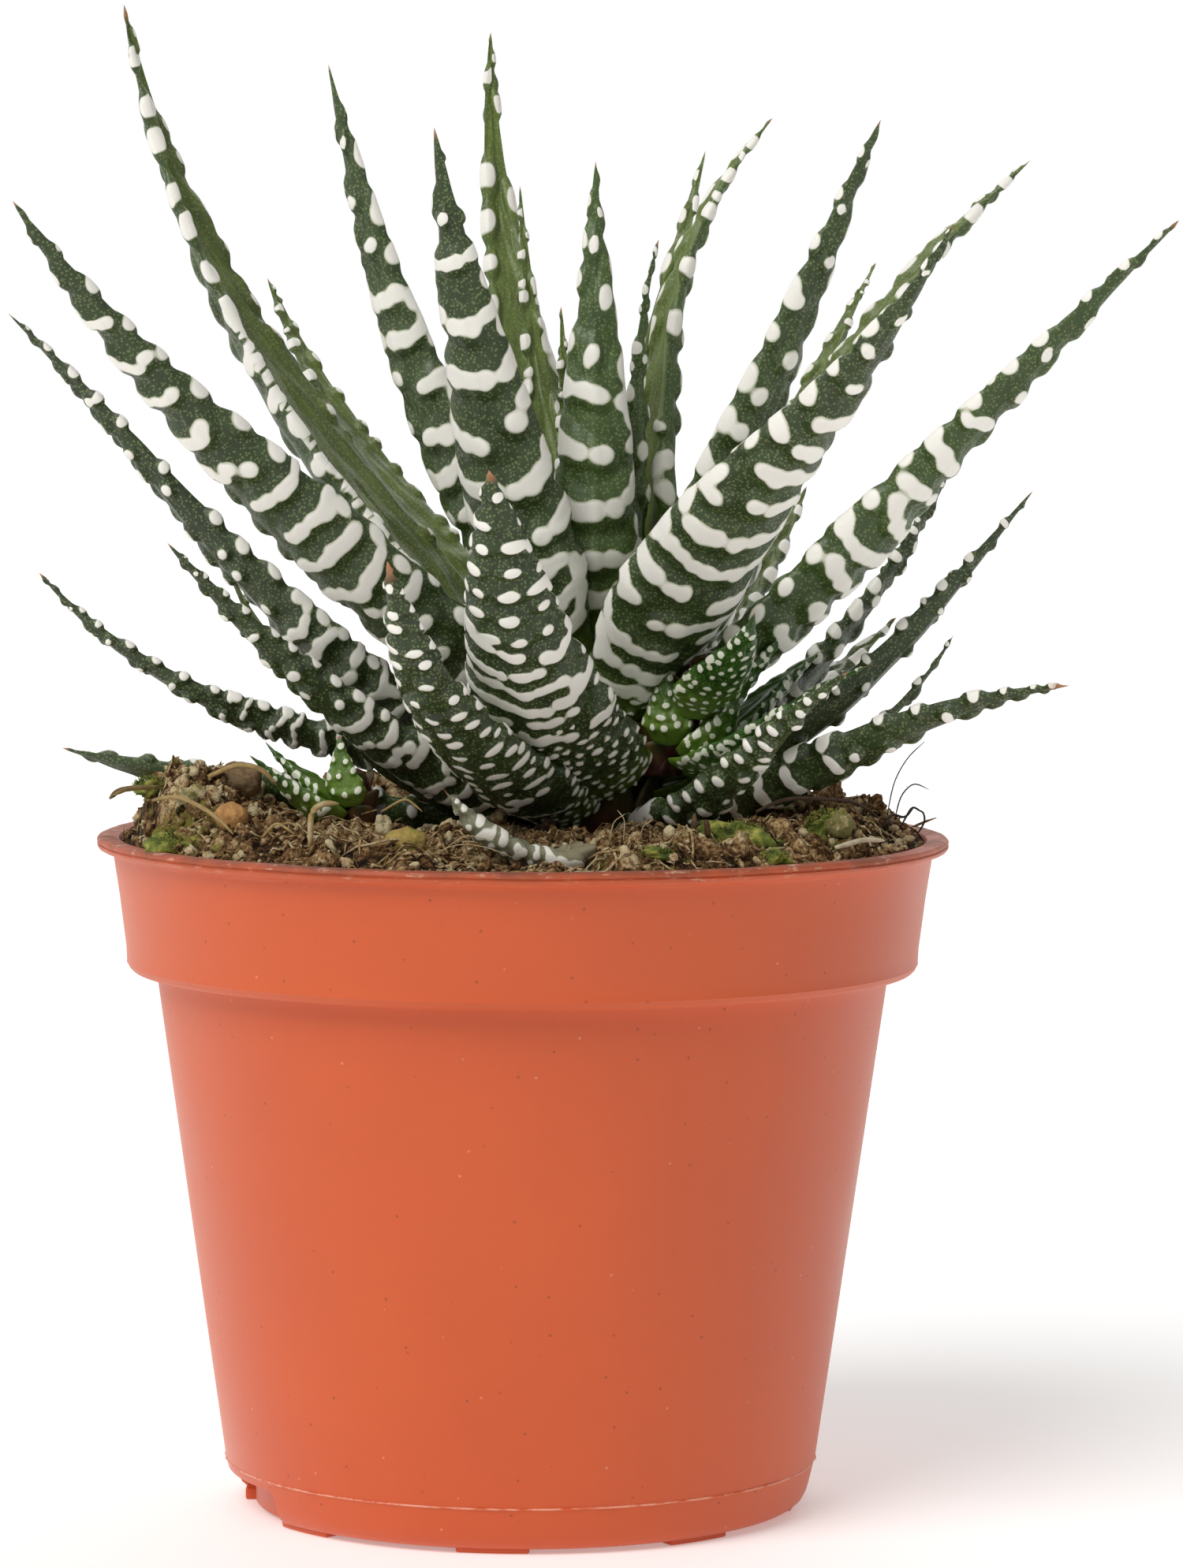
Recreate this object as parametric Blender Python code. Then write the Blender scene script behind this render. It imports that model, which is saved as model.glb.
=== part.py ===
"""A potted haworthia: a rosette of tapering leaves on a short stem, with two offsets, in a nursery pot.

Metres, Z up. The pot stands on the floor at z = 0 with its axis on the Z axis.
The front of the plant faces -Y.
"""

import math

import bpy
import bmesh
from mathutils import Vector

MM = 0.001

# Pot: a 9 cm injection-moulded grower's pot.
POT_HEIGHT = 71.2 * MM
RIM_RADIUS = 45.0 * MM
RIM_THICKNESS = 1.3 * MM
COLLAR_TOP_RADIUS = 43.5 * MM
COLLAR_FOOT_RADIUS = 41.8 * MM
COLLAR_FOOT_HEIGHT = 57.0 * MM
BODY_TOP_RADIUS = 38.8 * MM
SEAM_RADIUS = 31.4 * MM
SEAM_HEIGHT = 5.0 * MM
BASE_RADIUS = 30.2 * MM
POT_WALL = 1.0 * MM
FLOOR_BOTTOM = 0.8 * MM
FLOOR_TOP = 2.0 * MM
POT_SIDES = 48

# Foot pads, the plain pad in the middle, the drain notches and the drain holes.
PAD_COUNT = 8
PAD_ANGLE = 16
PAD_FIRST = -5
PAD_OUTER = 29.3 * MM
PAD_INNER = 26.5 * MM
CENTRE_PAD_RADIUS = 6.0 * MM
NOTCH_DIRECTIONS = (-80, 100)
NOTCH_ANGLE = 34
NOTCH_TOP = 3.8 * MM
NOTCH_DEPTH_RADIUS = 28.4 * MM
DRAIN_RADIUS = 3.0 * MM
DRAIN_CIRCLE = 18.0 * MM
DRAIN_COUNT = 4

GAP = 0.3 * MM

# Soil: fills the pot, heaped at the left and lower around the stem.
SOIL_MIDDLE = 70.5 * MM
SOIL_RINGS = 9
SOIL_SIDES = 48

# A leaf: this many sections from the foot to the tip, and corners round each section.
LEAF_SECTIONS = 9
LEAF_CORNERS = 8
LEAF_THICKNESS = 0.38
LEAF_HOLLOW = 0.12
LEAF_FOOT_LENGTH = 0.3

# Stems: the foot and the top of each axis, and the radius at both.
STEMS = {
    "main": dict(foot=(7.0, 0.0, 71.0), top=(7.0, 0.0, 98.0), radii=(7.0, 2.2)),
    "offset": dict(foot=(14.0, -4.5, 78.0), top=(20.0, -10.5, 91.0), radii=(2.6, 1.0)),
    "young": dict(foot=(-16.5, -16.0, 73.5), top=(-17.0, -16.0, 79.0), radii=(2.0, 0.8)),
    "withered": dict(foot=(7.5, -31.0, 72.2), top=(7.5, -31.0, 74.0), radii=(0.5, 0.4)),
}

# Every leaf. Millimetres and degrees.
# turn: compass direction from the stem, 0 to the front, 90 to the right. level: height of the foot.
# rise: slope where it leaves the stem. lift: slope at the tip.
# reach: the tip's distance from the stem's axis. height: the tip's height above the floor.
# roll: twist about its own length. bend: lengths of the two handles of its curve.
# fall: how the width tapers. foot: width at the stem, as a share of the widest.
LEAVES = [
    dict(name="leaf_01", turn=-52, level=82, rise=40, lift=50,
         reach=72, height=137, width=12.6, roll=35),
    dict(name="leaf_02", turn=-75, level=77.3, rise=28, lift=42,
         reach=62, height=126, width=10, roll=20, bend=(0.45, 0.3)),
    dict(name="leaf_03", turn=-105, level=85, rise=48, lift=78,
         reach=52, height=159, width=13, roll=-10),
    dict(name="leaf_04", turn=-135, level=82, rise=52, lift=58,
         reach=51, height=130, width=12),
    dict(name="leaf_05", turn=-80, level=91.5, rise=60, lift=77,
         reach=28, height=152, width=9.5, roll=40, bend=(0.3, 0.45)),
    dict(name="leaf_06", turn=-35, level=89, rise=64, lift=75,
         reach=28, height=145, width=12.5, roll=15, bend=(0.3, 0.45)),
    dict(name="leaf_07", turn=-160, level=88, rise=70, lift=92,
         reach=33, height=157, width=10),
    dict(name="leaf_08", turn=-159, level=92, rise=65, lift=80,
         reach=22, height=140, width=5.5),
    dict(name="leaf_09", turn=-164, level=94, rise=70, lift=80,
         reach=12, height=127, width=4.5),
    dict(name="leaf_10", turn=2, level=92, rise=65, lift=85,
         reach=9, height=142, width=9),
    dict(name="leaf_11", turn=154, level=86, rise=75, lift=58,
         reach=28, height=144, width=8, bend=(0.5, 0.45)),
    dict(name="leaf_12", turn=60, level=95, rise=75, lift=72,
         reach=8, height=134, width=5),
    dict(name="leaf_13", turn=108, level=90, rise=78, lift=46,
         reach=20, height=147, width=10, bend=(0.45, 0.42)),
    dict(name="leaf_14", turn=52, level=89, rise=53, lift=61,
         reach=37, height=146, width=9.5, roll=-25),
    dict(name="leaf_15", turn=112, level=84, rise=58, lift=37,
         reach=51, height=143, width=11, bend=(0.4, 0.36)),
    dict(name="leaf_16", turn=30, level=85, rise=52, lift=45,
         reach=69, height=135, width=14.5, roll=-15, bend=(0.4, 0.36), fall=0.95),
    dict(name="leaf_17", turn=137, level=82, rise=45, lift=50,
         reach=46, height=132, width=9),
    dict(name="leaf_18", turn=68, level=82, rise=38, lift=42,
         reach=64, height=136, width=10, roll=-35),
    dict(name="leaf_19", turn=98, level=78.5, rise=20, lift=62,
         reach=39, height=111, width=9, roll=-20),
    dict(name="leaf_20", turn=84, level=76, rise=15, lift=50,
         reach=46.5, height=108, width=8.5, roll=-30),
    dict(name="leaf_21", turn=81.5, level=73.8, rise=5, lift=60,
         reach=38.5, height=93, width=5.5, roll=-20, foot=0.3),
    dict(name="leaf_22", turn=60, level=73.4, rise=12, lift=6,
         reach=56, height=89, width=9, roll=-40),
    dict(name="leaf_23", turn=32, level=73, rise=4, lift=24,
         reach=48, height=91, width=8, roll=-25),
    dict(name="leaf_24", turn=-12, level=80, rise=20, lift=60,
         reach=48, height=111, width=17, foot=0.6),
    dict(name="leaf_25", turn=-23.5, level=75, rise=22, lift=66,
         reach=50, height=102, width=12),
    dict(name="leaf_26", turn=-57, level=74.2, rise=20, lift=44,
         reach=51, height=103, width=9, roll=30),
    dict(name="leaf_27", turn=-83, level=75.3, rise=27, lift=48,
         reach=58, height=99, width=7.5, roll=35, bend=(0.3, 0.45)),
    dict(name="leaf_28", turn=-120, level=77, rise=25, lift=75,
         reach=46, height=100, width=7),
    dict(name="leaf_29", turn=-92, level=72, rise=12, lift=12,
         reach=56, height=80, width=6, roll=20),
    dict(name="leaf_30", turn=-68, level=73, rise=8, lift=75,
         reach=32, height=91, width=4.5),
    dict(name="leaf_31", turn=130, level=76.5, rise=20, lift=35,
         reach=44, height=93, width=9.5),
    dict(name="leaf_32", turn=151, level=80.5, rise=25, lift=45,
         reach=50, height=107, width=10),
    dict(name="leaf_33", turn=178, level=77.5, rise=30, lift=45,
         reach=53, height=114, width=10),
    dict(name="leaf_34", turn=-156, level=80.5, rise=25, lift=40,
         reach=50, height=104, width=10.5),
    dict(name="leaf_35", turn=-136, level=74, rise=10, lift=30,
         reach=46, height=90, width=8),
    dict(name="leaf_36", turn=158, level=73.5, rise=10, lift=25,
         reach=44, height=86, width=9),
    dict(name="leaf_37", turn=-166, level=73.5, rise=10, lift=25,
         reach=46, height=88, width=9),
    dict(name="leaf_38", turn=118, level=74, rise=5, lift=20,
         reach=36, height=82, width=8),
    dict(name="offset_leaf_1", stem="offset", turn=24, level=85, rise=60, lift=60,
         reach=16, height=96, width=6),
    dict(name="offset_leaf_2", stem="offset", turn=72, level=83, rise=50, lift=46,
         reach=12.5, height=94.5, width=3.8),
    dict(name="offset_leaf_3", stem="offset", turn=104, level=80.5, rise=33, lift=28,
         reach=17, height=91, width=6),
    dict(name="offset_leaf_4", stem="offset", turn=72, level=79, rise=20, lift=18,
         reach=22.5, height=90, width=5.5),
    dict(name="offset_leaf_5", stem="offset", turn=52, level=81, rise=30, lift=60,
         reach=9, height=87, width=6),
    dict(name="offset_leaf_6", stem="offset", turn=-12, level=82, rise=60, lift=70,
         reach=5, height=90, width=4.5),
    dict(name="offset_leaf_7", stem="offset", turn=40, level=80, rise=5, lift=15,
         reach=25, height=88, width=5),
    dict(name="young_leaf_1", stem="young", turn=-70, level=75, rise=25, lift=35,
         reach=12, height=81, width=5),
    dict(name="young_leaf_2", stem="young", turn=-100, level=76, rise=40, lift=50,
         reach=10, height=82, width=4),
    dict(name="young_leaf_3", stem="young", turn=-30, level=76, rise=60, lift=75,
         reach=4, height=83, width=4),
    dict(name="withered_leaf", stem="withered", turn=-72, level=73, rise=-25, lift=50,
         reach=16, height=79, width=6, foot=0.7),
]

# Stones lying on the soil: where, and half sizes. Millimetres.
STONES = {
    "stone_brown": ((-29.5, -9.5), (2.3, 2.0, 1.9)),
    "stone_tan": ((-29.5, -24.0), (1.7, 1.4, 1.3)),
    "stone_green": ((-11.5, -32.5), (2.2, 1.8, 1.5)),
}


def clear_scene():
    for thing in list(bpy.data.objects):
        bpy.data.objects.remove(thing, do_unlink=True)


def material(name, colour, roughness, metallic=0.0):
    made = bpy.data.materials.new(name)
    made.use_nodes = True
    shader = made.node_tree.nodes["Principled BSDF"]
    shader.inputs["Base Color"].default_value = (*colour, 1.0)
    shader.inputs["Roughness"].default_value = roughness
    shader.inputs["Metallic"].default_value = metallic
    made.diffuse_color = (*colour, 1.0)
    return made


def solid(name, points, faces, stuff):
    """One closed body from its points and faces, with the faces turned out."""
    mesh = bpy.data.meshes.new(name)
    mesh.from_pydata(points, [], faces)
    shape = bmesh.new()
    shape.from_mesh(mesh)
    bmesh.ops.recalc_face_normals(shape, faces=shape.faces)
    bmesh.ops.triangulate(shape, faces=shape.faces)
    shape.to_mesh(mesh)
    shape.free()
    made = bpy.data.objects.new(name, mesh)
    bpy.context.scene.collection.objects.link(made)
    made.data.materials.append(stuff)
    return made


def revolved(name, profile, sides, stuff):
    """A closed ring of sections: the profile is a closed loop of (radius, height) off the axis."""
    count = len(profile)
    points = []
    for side in range(sides):
        angle = 2 * math.pi * side / sides
        for radius, height in profile:
            points.append((radius * math.cos(angle), radius * math.sin(angle), height))
    faces = []
    for side in range(sides):
        after = (side + 1) % sides
        for k in range(count):
            up = (k + 1) % count
            faces.append((side * count + k, after * count + k, after * count + up, side * count + up))
    return solid(name, points, faces, stuff)


def sector(name, inner, outer, low, high, middle, angle, steps, stuff):
    """A piece of a ring, centred on a compass direction (0 to the front, 90 to the right)."""
    points = []
    for step in range(steps + 1):
        turn = math.radians(middle - angle / 2 + angle * step / steps)
        for radius, height in ((inner, low), (outer, low), (outer, high), (inner, high)):
            points.append((radius * math.sin(turn), -radius * math.cos(turn), height))
    faces = [(0, 1, 2, 3), tuple(4 * steps + k for k in (3, 2, 1, 0))]
    for step in range(steps):
        for k in range(4):
            up = (k + 1) % 4
            faces.append((4 * step + k, 4 * step + up, 4 * step + 4 + up, 4 * step + 4 + k))
    return solid(name, points, faces, stuff)


def disc(name, radius, low, high, x, y, sides, stuff):
    points = []
    for height in (low, high):
        for side in range(sides):
            angle = 2 * math.pi * side / sides
            points.append((x + radius * math.cos(angle), y + radius * math.sin(angle), height))
    faces = [tuple(range(sides)), tuple(range(sides, 2 * sides))]
    for side in range(sides):
        after = (side + 1) % sides
        faces.append((side, after, sides + after, sides + side))
    return solid(name, points, faces, stuff)


def combine(target, tool, operation):
    """Joins or cuts with an exact Boolean, and hides the tool."""
    step = target.modifiers.new(tool.name, "BOOLEAN")
    step.object = tool
    step.operation = operation
    step.solver = "EXACT"
    tool.hide_render = True
    tool.display_type = "WIRE"


def body_radius(height):
    share = (height - SEAM_HEIGHT) / (COLLAR_FOOT_HEIGHT - SEAM_HEIGHT)
    return SEAM_RADIUS + (BODY_TOP_RADIUS - SEAM_RADIUS) * share


def build_pot(plastic):
    lip_low = POT_HEIGHT - RIM_THICKNESS
    ledge = COLLAR_FOOT_HEIGHT + POT_WALL
    soft = 0.4 * MM
    outside = [
        (BASE_RADIUS - 1.0 * MM, FLOOR_BOTTOM),
        (BASE_RADIUS, FLOOR_BOTTOM + 1.0 * MM),
        (SEAM_RADIUS - 0.15 * MM, SEAM_HEIGHT - 0.25 * MM),
        (SEAM_RADIUS + 0.2 * MM, SEAM_HEIGHT),
        (body_radius(SEAM_HEIGHT + 0.3 * MM), SEAM_HEIGHT + 0.3 * MM),
        (BODY_TOP_RADIUS, COLLAR_FOOT_HEIGHT),
        (COLLAR_FOOT_RADIUS - 0.8 * MM, COLLAR_FOOT_HEIGHT),
        (COLLAR_FOOT_RADIUS, COLLAR_FOOT_HEIGHT + 0.9 * MM),
        (COLLAR_TOP_RADIUS, lip_low),
        (RIM_RADIUS - soft, lip_low),
        (RIM_RADIUS, lip_low + soft),
        (RIM_RADIUS, POT_HEIGHT - soft),
        (RIM_RADIUS - soft, POT_HEIGHT),
    ]
    inside = [
        (COLLAR_TOP_RADIUS - POT_WALL, POT_HEIGHT),
        (COLLAR_FOOT_RADIUS - POT_WALL, ledge),
        (BODY_TOP_RADIUS - POT_WALL, ledge),
        (body_radius(FLOOR_TOP) - POT_WALL, FLOOR_TOP),
        (1.0 * MM, FLOOR_TOP),
        (1.0 * MM, FLOOR_BOTTOM),
    ]
    pot = revolved("pot", outside + inside, POT_SIDES, plastic)
    pad = disc("pad_middle", CENTRE_PAD_RADIUS, 0, FLOOR_TOP, 0, 0, 32, plastic)
    combine(pot, pad, "UNION")
    for k in range(PAD_COUNT):
        middle = PAD_FIRST + 360 * k / PAD_COUNT
        pad = sector(f"pad_{k}", PAD_INNER, PAD_OUTER, 0, 1.2 * MM, middle, PAD_ANGLE, 4, plastic)
        combine(pot, pad, "UNION")
    for direction in NOTCH_DIRECTIONS:
        pocket = sector(f"pocket_{direction}", NOTCH_DEPTH_RADIUS - POT_WALL,
                        body_radius(2 * MM) - 0.4 * MM, 1.2 * MM, NOTCH_TOP + POT_WALL,
                        direction, NOTCH_ANGLE + 4, 8, plastic)
        combine(pot, pocket, "UNION")
        notch = sector(f"notch_{direction}", NOTCH_DEPTH_RADIUS, RIM_RADIUS,
                       -2 * MM, NOTCH_TOP, direction, NOTCH_ANGLE, 8, plastic)
        combine(pot, notch, "DIFFERENCE")
    for k in range(DRAIN_COUNT):
        angle = 2 * math.pi * (k + 0.5) / DRAIN_COUNT
        hole = disc(f"drain_{k}", DRAIN_RADIUS, -1 * MM, 4 * MM,
                    DRAIN_CIRCLE * math.cos(angle), DRAIN_CIRCLE * math.sin(angle), 24, plastic)
        combine(pot, hole, "DIFFERENCE")
    return pot


def bump(x, y, at_x, at_y, wide_x, wide_y):
    return math.exp(-((x - at_x) / wide_x) ** 2 - ((y - at_y) / wide_y) ** 2)


def soil_height(x, y):
    """Height of the soil, in millimetres: low round the stem, heaped left and right, uneven all over."""
    away = math.hypot(x, y)
    rise = 1.3 * min(1.0, max(0.0, (away - 15) / 12))
    heaps = 4.3 * bump(x, y, -35, -17, 7, 12) + 2.6 * bump(x, y, -31, -8, 5, 5)
    heaps += 1.8 * bump(x, y, 33, -6, 7, 14) + 1.6 * bump(x, y, -22, 26, 12, 8)
    heaps -= 2.2 * bump(x, y, 2, -34, 9, 6)
    lumps = 0.35 * math.sin(0.55 * x + 1.0) * math.cos(0.5 * y) + 0.25 * math.sin(0.9 * y - 0.4 * x)
    return SOIL_MIDDLE / MM + rise + heaps + lumps * min(1.0, away / 20)


def build_soil(stuff):
    edge_at = COLLAR_TOP_RADIUS - POT_WALL - 0.6 * MM
    ledge = COLLAR_FOOT_HEIGHT + POT_WALL + GAP
    foot = FLOOR_TOP + NOTCH_TOP + GAP
    walls = [
        (COLLAR_FOOT_RADIUS - POT_WALL - GAP, ledge),
        (BODY_TOP_RADIUS - POT_WALL - GAP - 0.1 * MM, ledge),
        (body_radius(foot) - POT_WALL - GAP, foot),
        (NOTCH_DEPTH_RADIUS - POT_WALL - GAP, foot),
        (NOTCH_DEPTH_RADIUS - POT_WALL - GAP, FLOOR_TOP + GAP),
    ]
    points = [(0, 0, soil_height(0, 0) * MM)]
    for ring in range(1, SOIL_RINGS + 1):
        radius = edge_at * ring / SOIL_RINGS
        for side in range(SOIL_SIDES):
            angle = 2 * math.pi * side / SOIL_SIDES
            x = radius * math.cos(angle)
            y = radius * math.sin(angle)
            height = soil_height(x / MM, y / MM) * MM
            if ring == SOIL_RINGS:
                height = 69.8 * MM
            points.append((x, y, height))
    for radius, height in walls:
        for side in range(SOIL_SIDES):
            angle = 2 * math.pi * side / SOIL_SIDES
            points.append((radius * math.cos(angle), radius * math.sin(angle), height))
    points.append((0, 0, FLOOR_TOP + GAP))
    faces = []
    rows = SOIL_RINGS + len(walls)
    for side in range(SOIL_SIDES):
        after = (side + 1) % SOIL_SIDES
        faces.append((0, 1 + side, 1 + after))
        for row in range(rows - 1):
            a = 1 + row * SOIL_SIDES
            b = a + SOIL_SIDES
            faces.append((a + side, b + side, b + after, a + after))
        last = 1 + (rows - 1) * SOIL_SIDES
        faces.append((last + side, len(points) - 1, last + after))
    return solid("soil", points, faces, stuff)


def axis_at(stem, level):
    """The stem's axis point and radius at a height."""
    foot, top = Vector(stem["foot"]), Vector(stem["top"])
    share = (level - foot.z) / (top.z - foot.z)
    low, high = stem["radii"]
    return foot.lerp(top, share), low + (high - low) * min(1.0, max(0.0, share))


def build_stem(name, key, sides, stuff):
    stem = STEMS[key]
    points = []
    for at, radius in ((stem["foot"], stem["radii"][0]), (stem["top"], stem["radii"][1])):
        for side in range(sides):
            angle = 2 * math.pi * side / sides
            points.append(((at[0] + radius * math.cos(angle)) * MM,
                           (at[1] + radius * math.sin(angle)) * MM, at[2] * MM))
    faces = [tuple(range(sides)), tuple(range(sides, 2 * sides))]
    for side in range(sides):
        after = (side + 1) % sides
        faces.append((side, after, sides + after, sides + side))
    return solid(name, points, faces, stuff)


def heading(turn, slope):
    """A unit direction: compass turn and slope above level, in degrees."""
    turn, slope = math.radians(turn), math.radians(slope)
    flat = math.cos(slope)
    return Vector((flat * math.sin(turn), -flat * math.cos(turn), math.sin(slope)))


def build_leaf(leaf, stuff):
    """A tapering leaf: sections along a curve from the stem to the tip, flat above and keeled below."""
    centre, radius = axis_at(STEMS[leaf.get("stem", "main")], leaf["level"])
    turn = leaf["turn"]
    start = centre + heading(turn, 0) * (radius + GAP / MM + 0.05)
    tip = Vector((centre.x, centre.y, leaf["height"])) + heading(turn, 0) * leaf["reach"]
    first, second = leaf.get("bend", (0.36, 0.36))
    span = (tip - start).length
    near = start + heading(turn, leaf["rise"]) * span * first
    far = tip - heading(turn, leaf["lift"]) * span * second

    curve, ways = [], []
    for k in range(LEAF_SECTIONS + 1):
        t = k / LEAF_SECTIONS
        s = 1 - t
        curve.append(start * s ** 3 + near * 3 * t * s ** 2 + far * 3 * t * t * s + tip * t ** 3)
        way = (near - start) * s ** 2 + (far - near) * 2 * t * s + (tip - far) * t * t
        ways.append(way.normalized())
    along = [0.0]
    for k in range(LEAF_SECTIONS):
        along.append(along[-1] + (curve[k + 1] - curve[k]).length)

    across = heading(turn + 90, 0)
    points = []
    for k in range(LEAF_SECTIONS):
        way = ways[k]
        across = (across - way * across.dot(way)).normalized()
        upper = way.cross(across)
        share = along[k] / along[-1]
        twist = math.radians(leaf.get("roll", 0)) * min(1.0, 2 * share)
        side = across * math.cos(twist) + upper * math.sin(twist)
        face = upper * math.cos(twist) - across * math.sin(twist)
        opened = min(1.0, share / LEAF_FOOT_LENGTH)
        foot = leaf.get("foot", 0.4)
        half = leaf["width"] / 2 * ((1 - share) / 0.85) ** leaf.get("fall", 0.7)
        half *= foot + (1 - foot) * opened * opened * (3 - 2 * opened)
        for corner in range(LEAF_CORNERS):
            angle = 2 * math.pi * corner / LEAF_CORNERS
            rise = math.sin(angle)
            rise *= LEAF_HOLLOW if rise > 0 else 2 * LEAF_THICKNESS - LEAF_HOLLOW
            points.append((curve[k] + side * half * math.cos(angle) + face * half * rise) * MM)
    points.append(tip * MM)
    points.append(start * MM)
    apex, foot_middle = len(points) - 2, len(points) - 1
    faces = []
    for corner in range(LEAF_CORNERS):
        after = (corner + 1) % LEAF_CORNERS
        for k in range(LEAF_SECTIONS - 1):
            a = k * LEAF_CORNERS
            b = a + LEAF_CORNERS
            faces.append((a + corner, a + after, b + after, b + corner))
        a = (LEAF_SECTIONS - 1) * LEAF_CORNERS
        faces.append((a + corner, a + after, apex))
        faces.append((corner, foot_middle, after))
    return solid(leaf["name"], [tuple(p) for p in points], faces, stuff)


def build_stone(name, place, half, stuff):
    """A rounded pebble on the soil: a few rings between two poles, a little uneven."""
    rings, sides = 5, 10
    middle = (*place, soil_height(*place) + half[2] + 0.2)
    points = [(middle[0] * MM, middle[1] * MM, (middle[2] - half[2]) * MM)]
    for ring in range(1, rings):
        tilt = math.pi * ring / rings
        for side in range(sides):
            angle = 2 * math.pi * side / sides
            uneven = 1 + 0.09 * math.sin(3 * angle + ring) + 0.06 * math.cos(2 * angle - 2 * ring)
            points.append(((middle[0] + half[0] * uneven * math.sin(tilt) * math.cos(angle)) * MM,
                           (middle[1] + half[1] * uneven * math.sin(tilt) * math.sin(angle)) * MM,
                           (middle[2] - half[2] * math.cos(tilt)) * MM))
    points.append((middle[0] * MM, middle[1] * MM, (middle[2] + half[2]) * MM))
    faces = []
    for side in range(sides):
        after = (side + 1) % sides
        faces.append((0, 1 + after, 1 + side))
        for ring in range(rings - 2):
            a = 1 + ring * sides
            faces.append((a + side, a + after, a + sides + after, a + sides + side))
        a = 1 + (rings - 2) * sides
        faces.append((a + side, a + after, len(points) - 1))
    return solid(name, points, faces, stuff)


clear_scene()

PLASTIC = material("terracotta_plastic", (0.56, 0.11, 0.04), 0.5)
PEAT = material("peat_soil", (0.06, 0.035, 0.02), 0.95)
STEM_SKIN = material("stem_sheath", (0.16, 0.05, 0.025), 0.6)
LEAF_SKIN = material("leaf_skin", (0.035, 0.07, 0.025), 0.42)
YOUNG_SKIN = material("young_leaf_skin", (0.06, 0.15, 0.025), 0.4)
DRY_SKIN = material("withered_leaf_skin", (0.22, 0.2, 0.13), 0.7)
PEBBLE = material("pebble", (0.24, 0.15, 0.07), 0.8)

build_pot(PLASTIC)
build_soil(PEAT)
build_stem("stem", "main", 20, STEM_SKIN)
build_stem("offset_stem", "offset", 12, STEM_SKIN)
build_stem("young_stem", "young", 12, STEM_SKIN)
for row in LEAVES:
    skin = LEAF_SKIN
    if row.get("stem") in ("offset", "young"):
        skin = YOUNG_SKIN
    elif row.get("stem") == "withered":
        skin = DRY_SKIN
    build_leaf(row, skin)
for name, (place, half) in STONES.items():
    build_stone(name, place, half, PEBBLE)
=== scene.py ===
import math

import bpy
import numpy as np
from mathutils import Matrix, Vector, noise
from mathutils.bvhtree import BVHTree


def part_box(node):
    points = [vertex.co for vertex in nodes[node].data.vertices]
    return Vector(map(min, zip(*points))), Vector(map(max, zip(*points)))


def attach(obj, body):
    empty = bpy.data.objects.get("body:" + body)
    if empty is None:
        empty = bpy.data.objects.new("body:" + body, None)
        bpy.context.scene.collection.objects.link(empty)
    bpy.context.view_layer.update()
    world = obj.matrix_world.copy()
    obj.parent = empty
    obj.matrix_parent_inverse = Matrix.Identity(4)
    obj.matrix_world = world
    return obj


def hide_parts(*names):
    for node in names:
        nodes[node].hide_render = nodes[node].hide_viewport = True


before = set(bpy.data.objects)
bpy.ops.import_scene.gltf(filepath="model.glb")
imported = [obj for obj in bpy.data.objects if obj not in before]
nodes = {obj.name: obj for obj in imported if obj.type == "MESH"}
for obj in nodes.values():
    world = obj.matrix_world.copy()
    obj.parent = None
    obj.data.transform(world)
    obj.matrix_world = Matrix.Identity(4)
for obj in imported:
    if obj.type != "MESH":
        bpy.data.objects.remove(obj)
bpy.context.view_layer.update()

mm = 0.001
bpy.ops.object.select_all(action="DESELECT")
print("frame loaded:", len(nodes), "nodes")

# settings that many nodes share
colourMix = {"data_type": "RGBA"}
multiplyMix = {"data_type": "RGBA", "blend_type": "MULTIPLY"}
softStep = {"interpolation_type": "SMOOTHSTEP"}


def linear(hexColour):
    # sRGB hex to linear RGBA
    parts = [int(hexColour[k:k + 2], 16) / 255 for k in (1, 3, 5)]
    return tuple(c / 12.92 if c <= 0.04045 else ((c + 0.055) / 1.055) ** 2.4 for c in parts) + (1.0,)


def addNode(tree, kind, settings=None, values=None, links=None, ramp=None):
    # one node with its settings, fixed values and incoming links
    node = tree.nodes.new(kind)
    for name, value in (settings or {}).items():
        setattr(node, name, value)
    if ramp:
        stops = node.color_ramp.elements
        while len(stops) < len(ramp):
            stops.new(0.5)
        for stop, (place, colour) in zip(stops, ramp):
            stop.position = place
            stop.color = linear(colour)
    for name, value in (values or {}).items():
        node.inputs[name].default_value = value
    for name, source in (links or {}).items():
        tree.links.new(source, node.inputs[name])
    return node


def newMaterial(name, values):
    # a Principled material with fixed values, and the output that gives places on the object
    stuff = bpy.data.materials.new(name)
    stuff.use_nodes = True
    tree = stuff.node_tree
    shader = tree.nodes["Principled BSDF"]
    for socket, value in values.items():
        shader.inputs[socket].default_value = value
    return stuff, tree, shader, addNode(tree, "ShaderNodeTexCoord").outputs["Object"]


def finishSurface(tree, shader, colour, height, strength, depth):
    # the colour, and relief this deep, mm
    tree.links.new(colour, shader.inputs["Base Color"])
    relief = addNode(tree, "ShaderNodeBump", values={"Strength": strength, "Distance": depth * mm},
                     links={"Height": height})
    tree.links.new(relief.outputs["Normal"], shader.inputs["Normal"])


def pointsOf(piece):
    return np.array([v.co[:] for v in piece.data.vertices])


def unit(vectors):
    return vectors / np.linalg.norm(vectors, axis=1)[:, None]


def meshPiece(name, points, faces, stuff, replaces=None):
    # points in metres
    mesh = bpy.data.meshes.new(name)
    mesh.from_pydata([tuple(p) for p in points], [], faces)
    mesh.polygons.foreach_set("use_smooth", [True] * len(mesh.polygons))
    mesh.update()
    piece = bpy.data.objects.new(name, mesh)
    bpy.context.scene.collection.objects.link(piece)
    return dress(piece, stuff, replaces)


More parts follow.
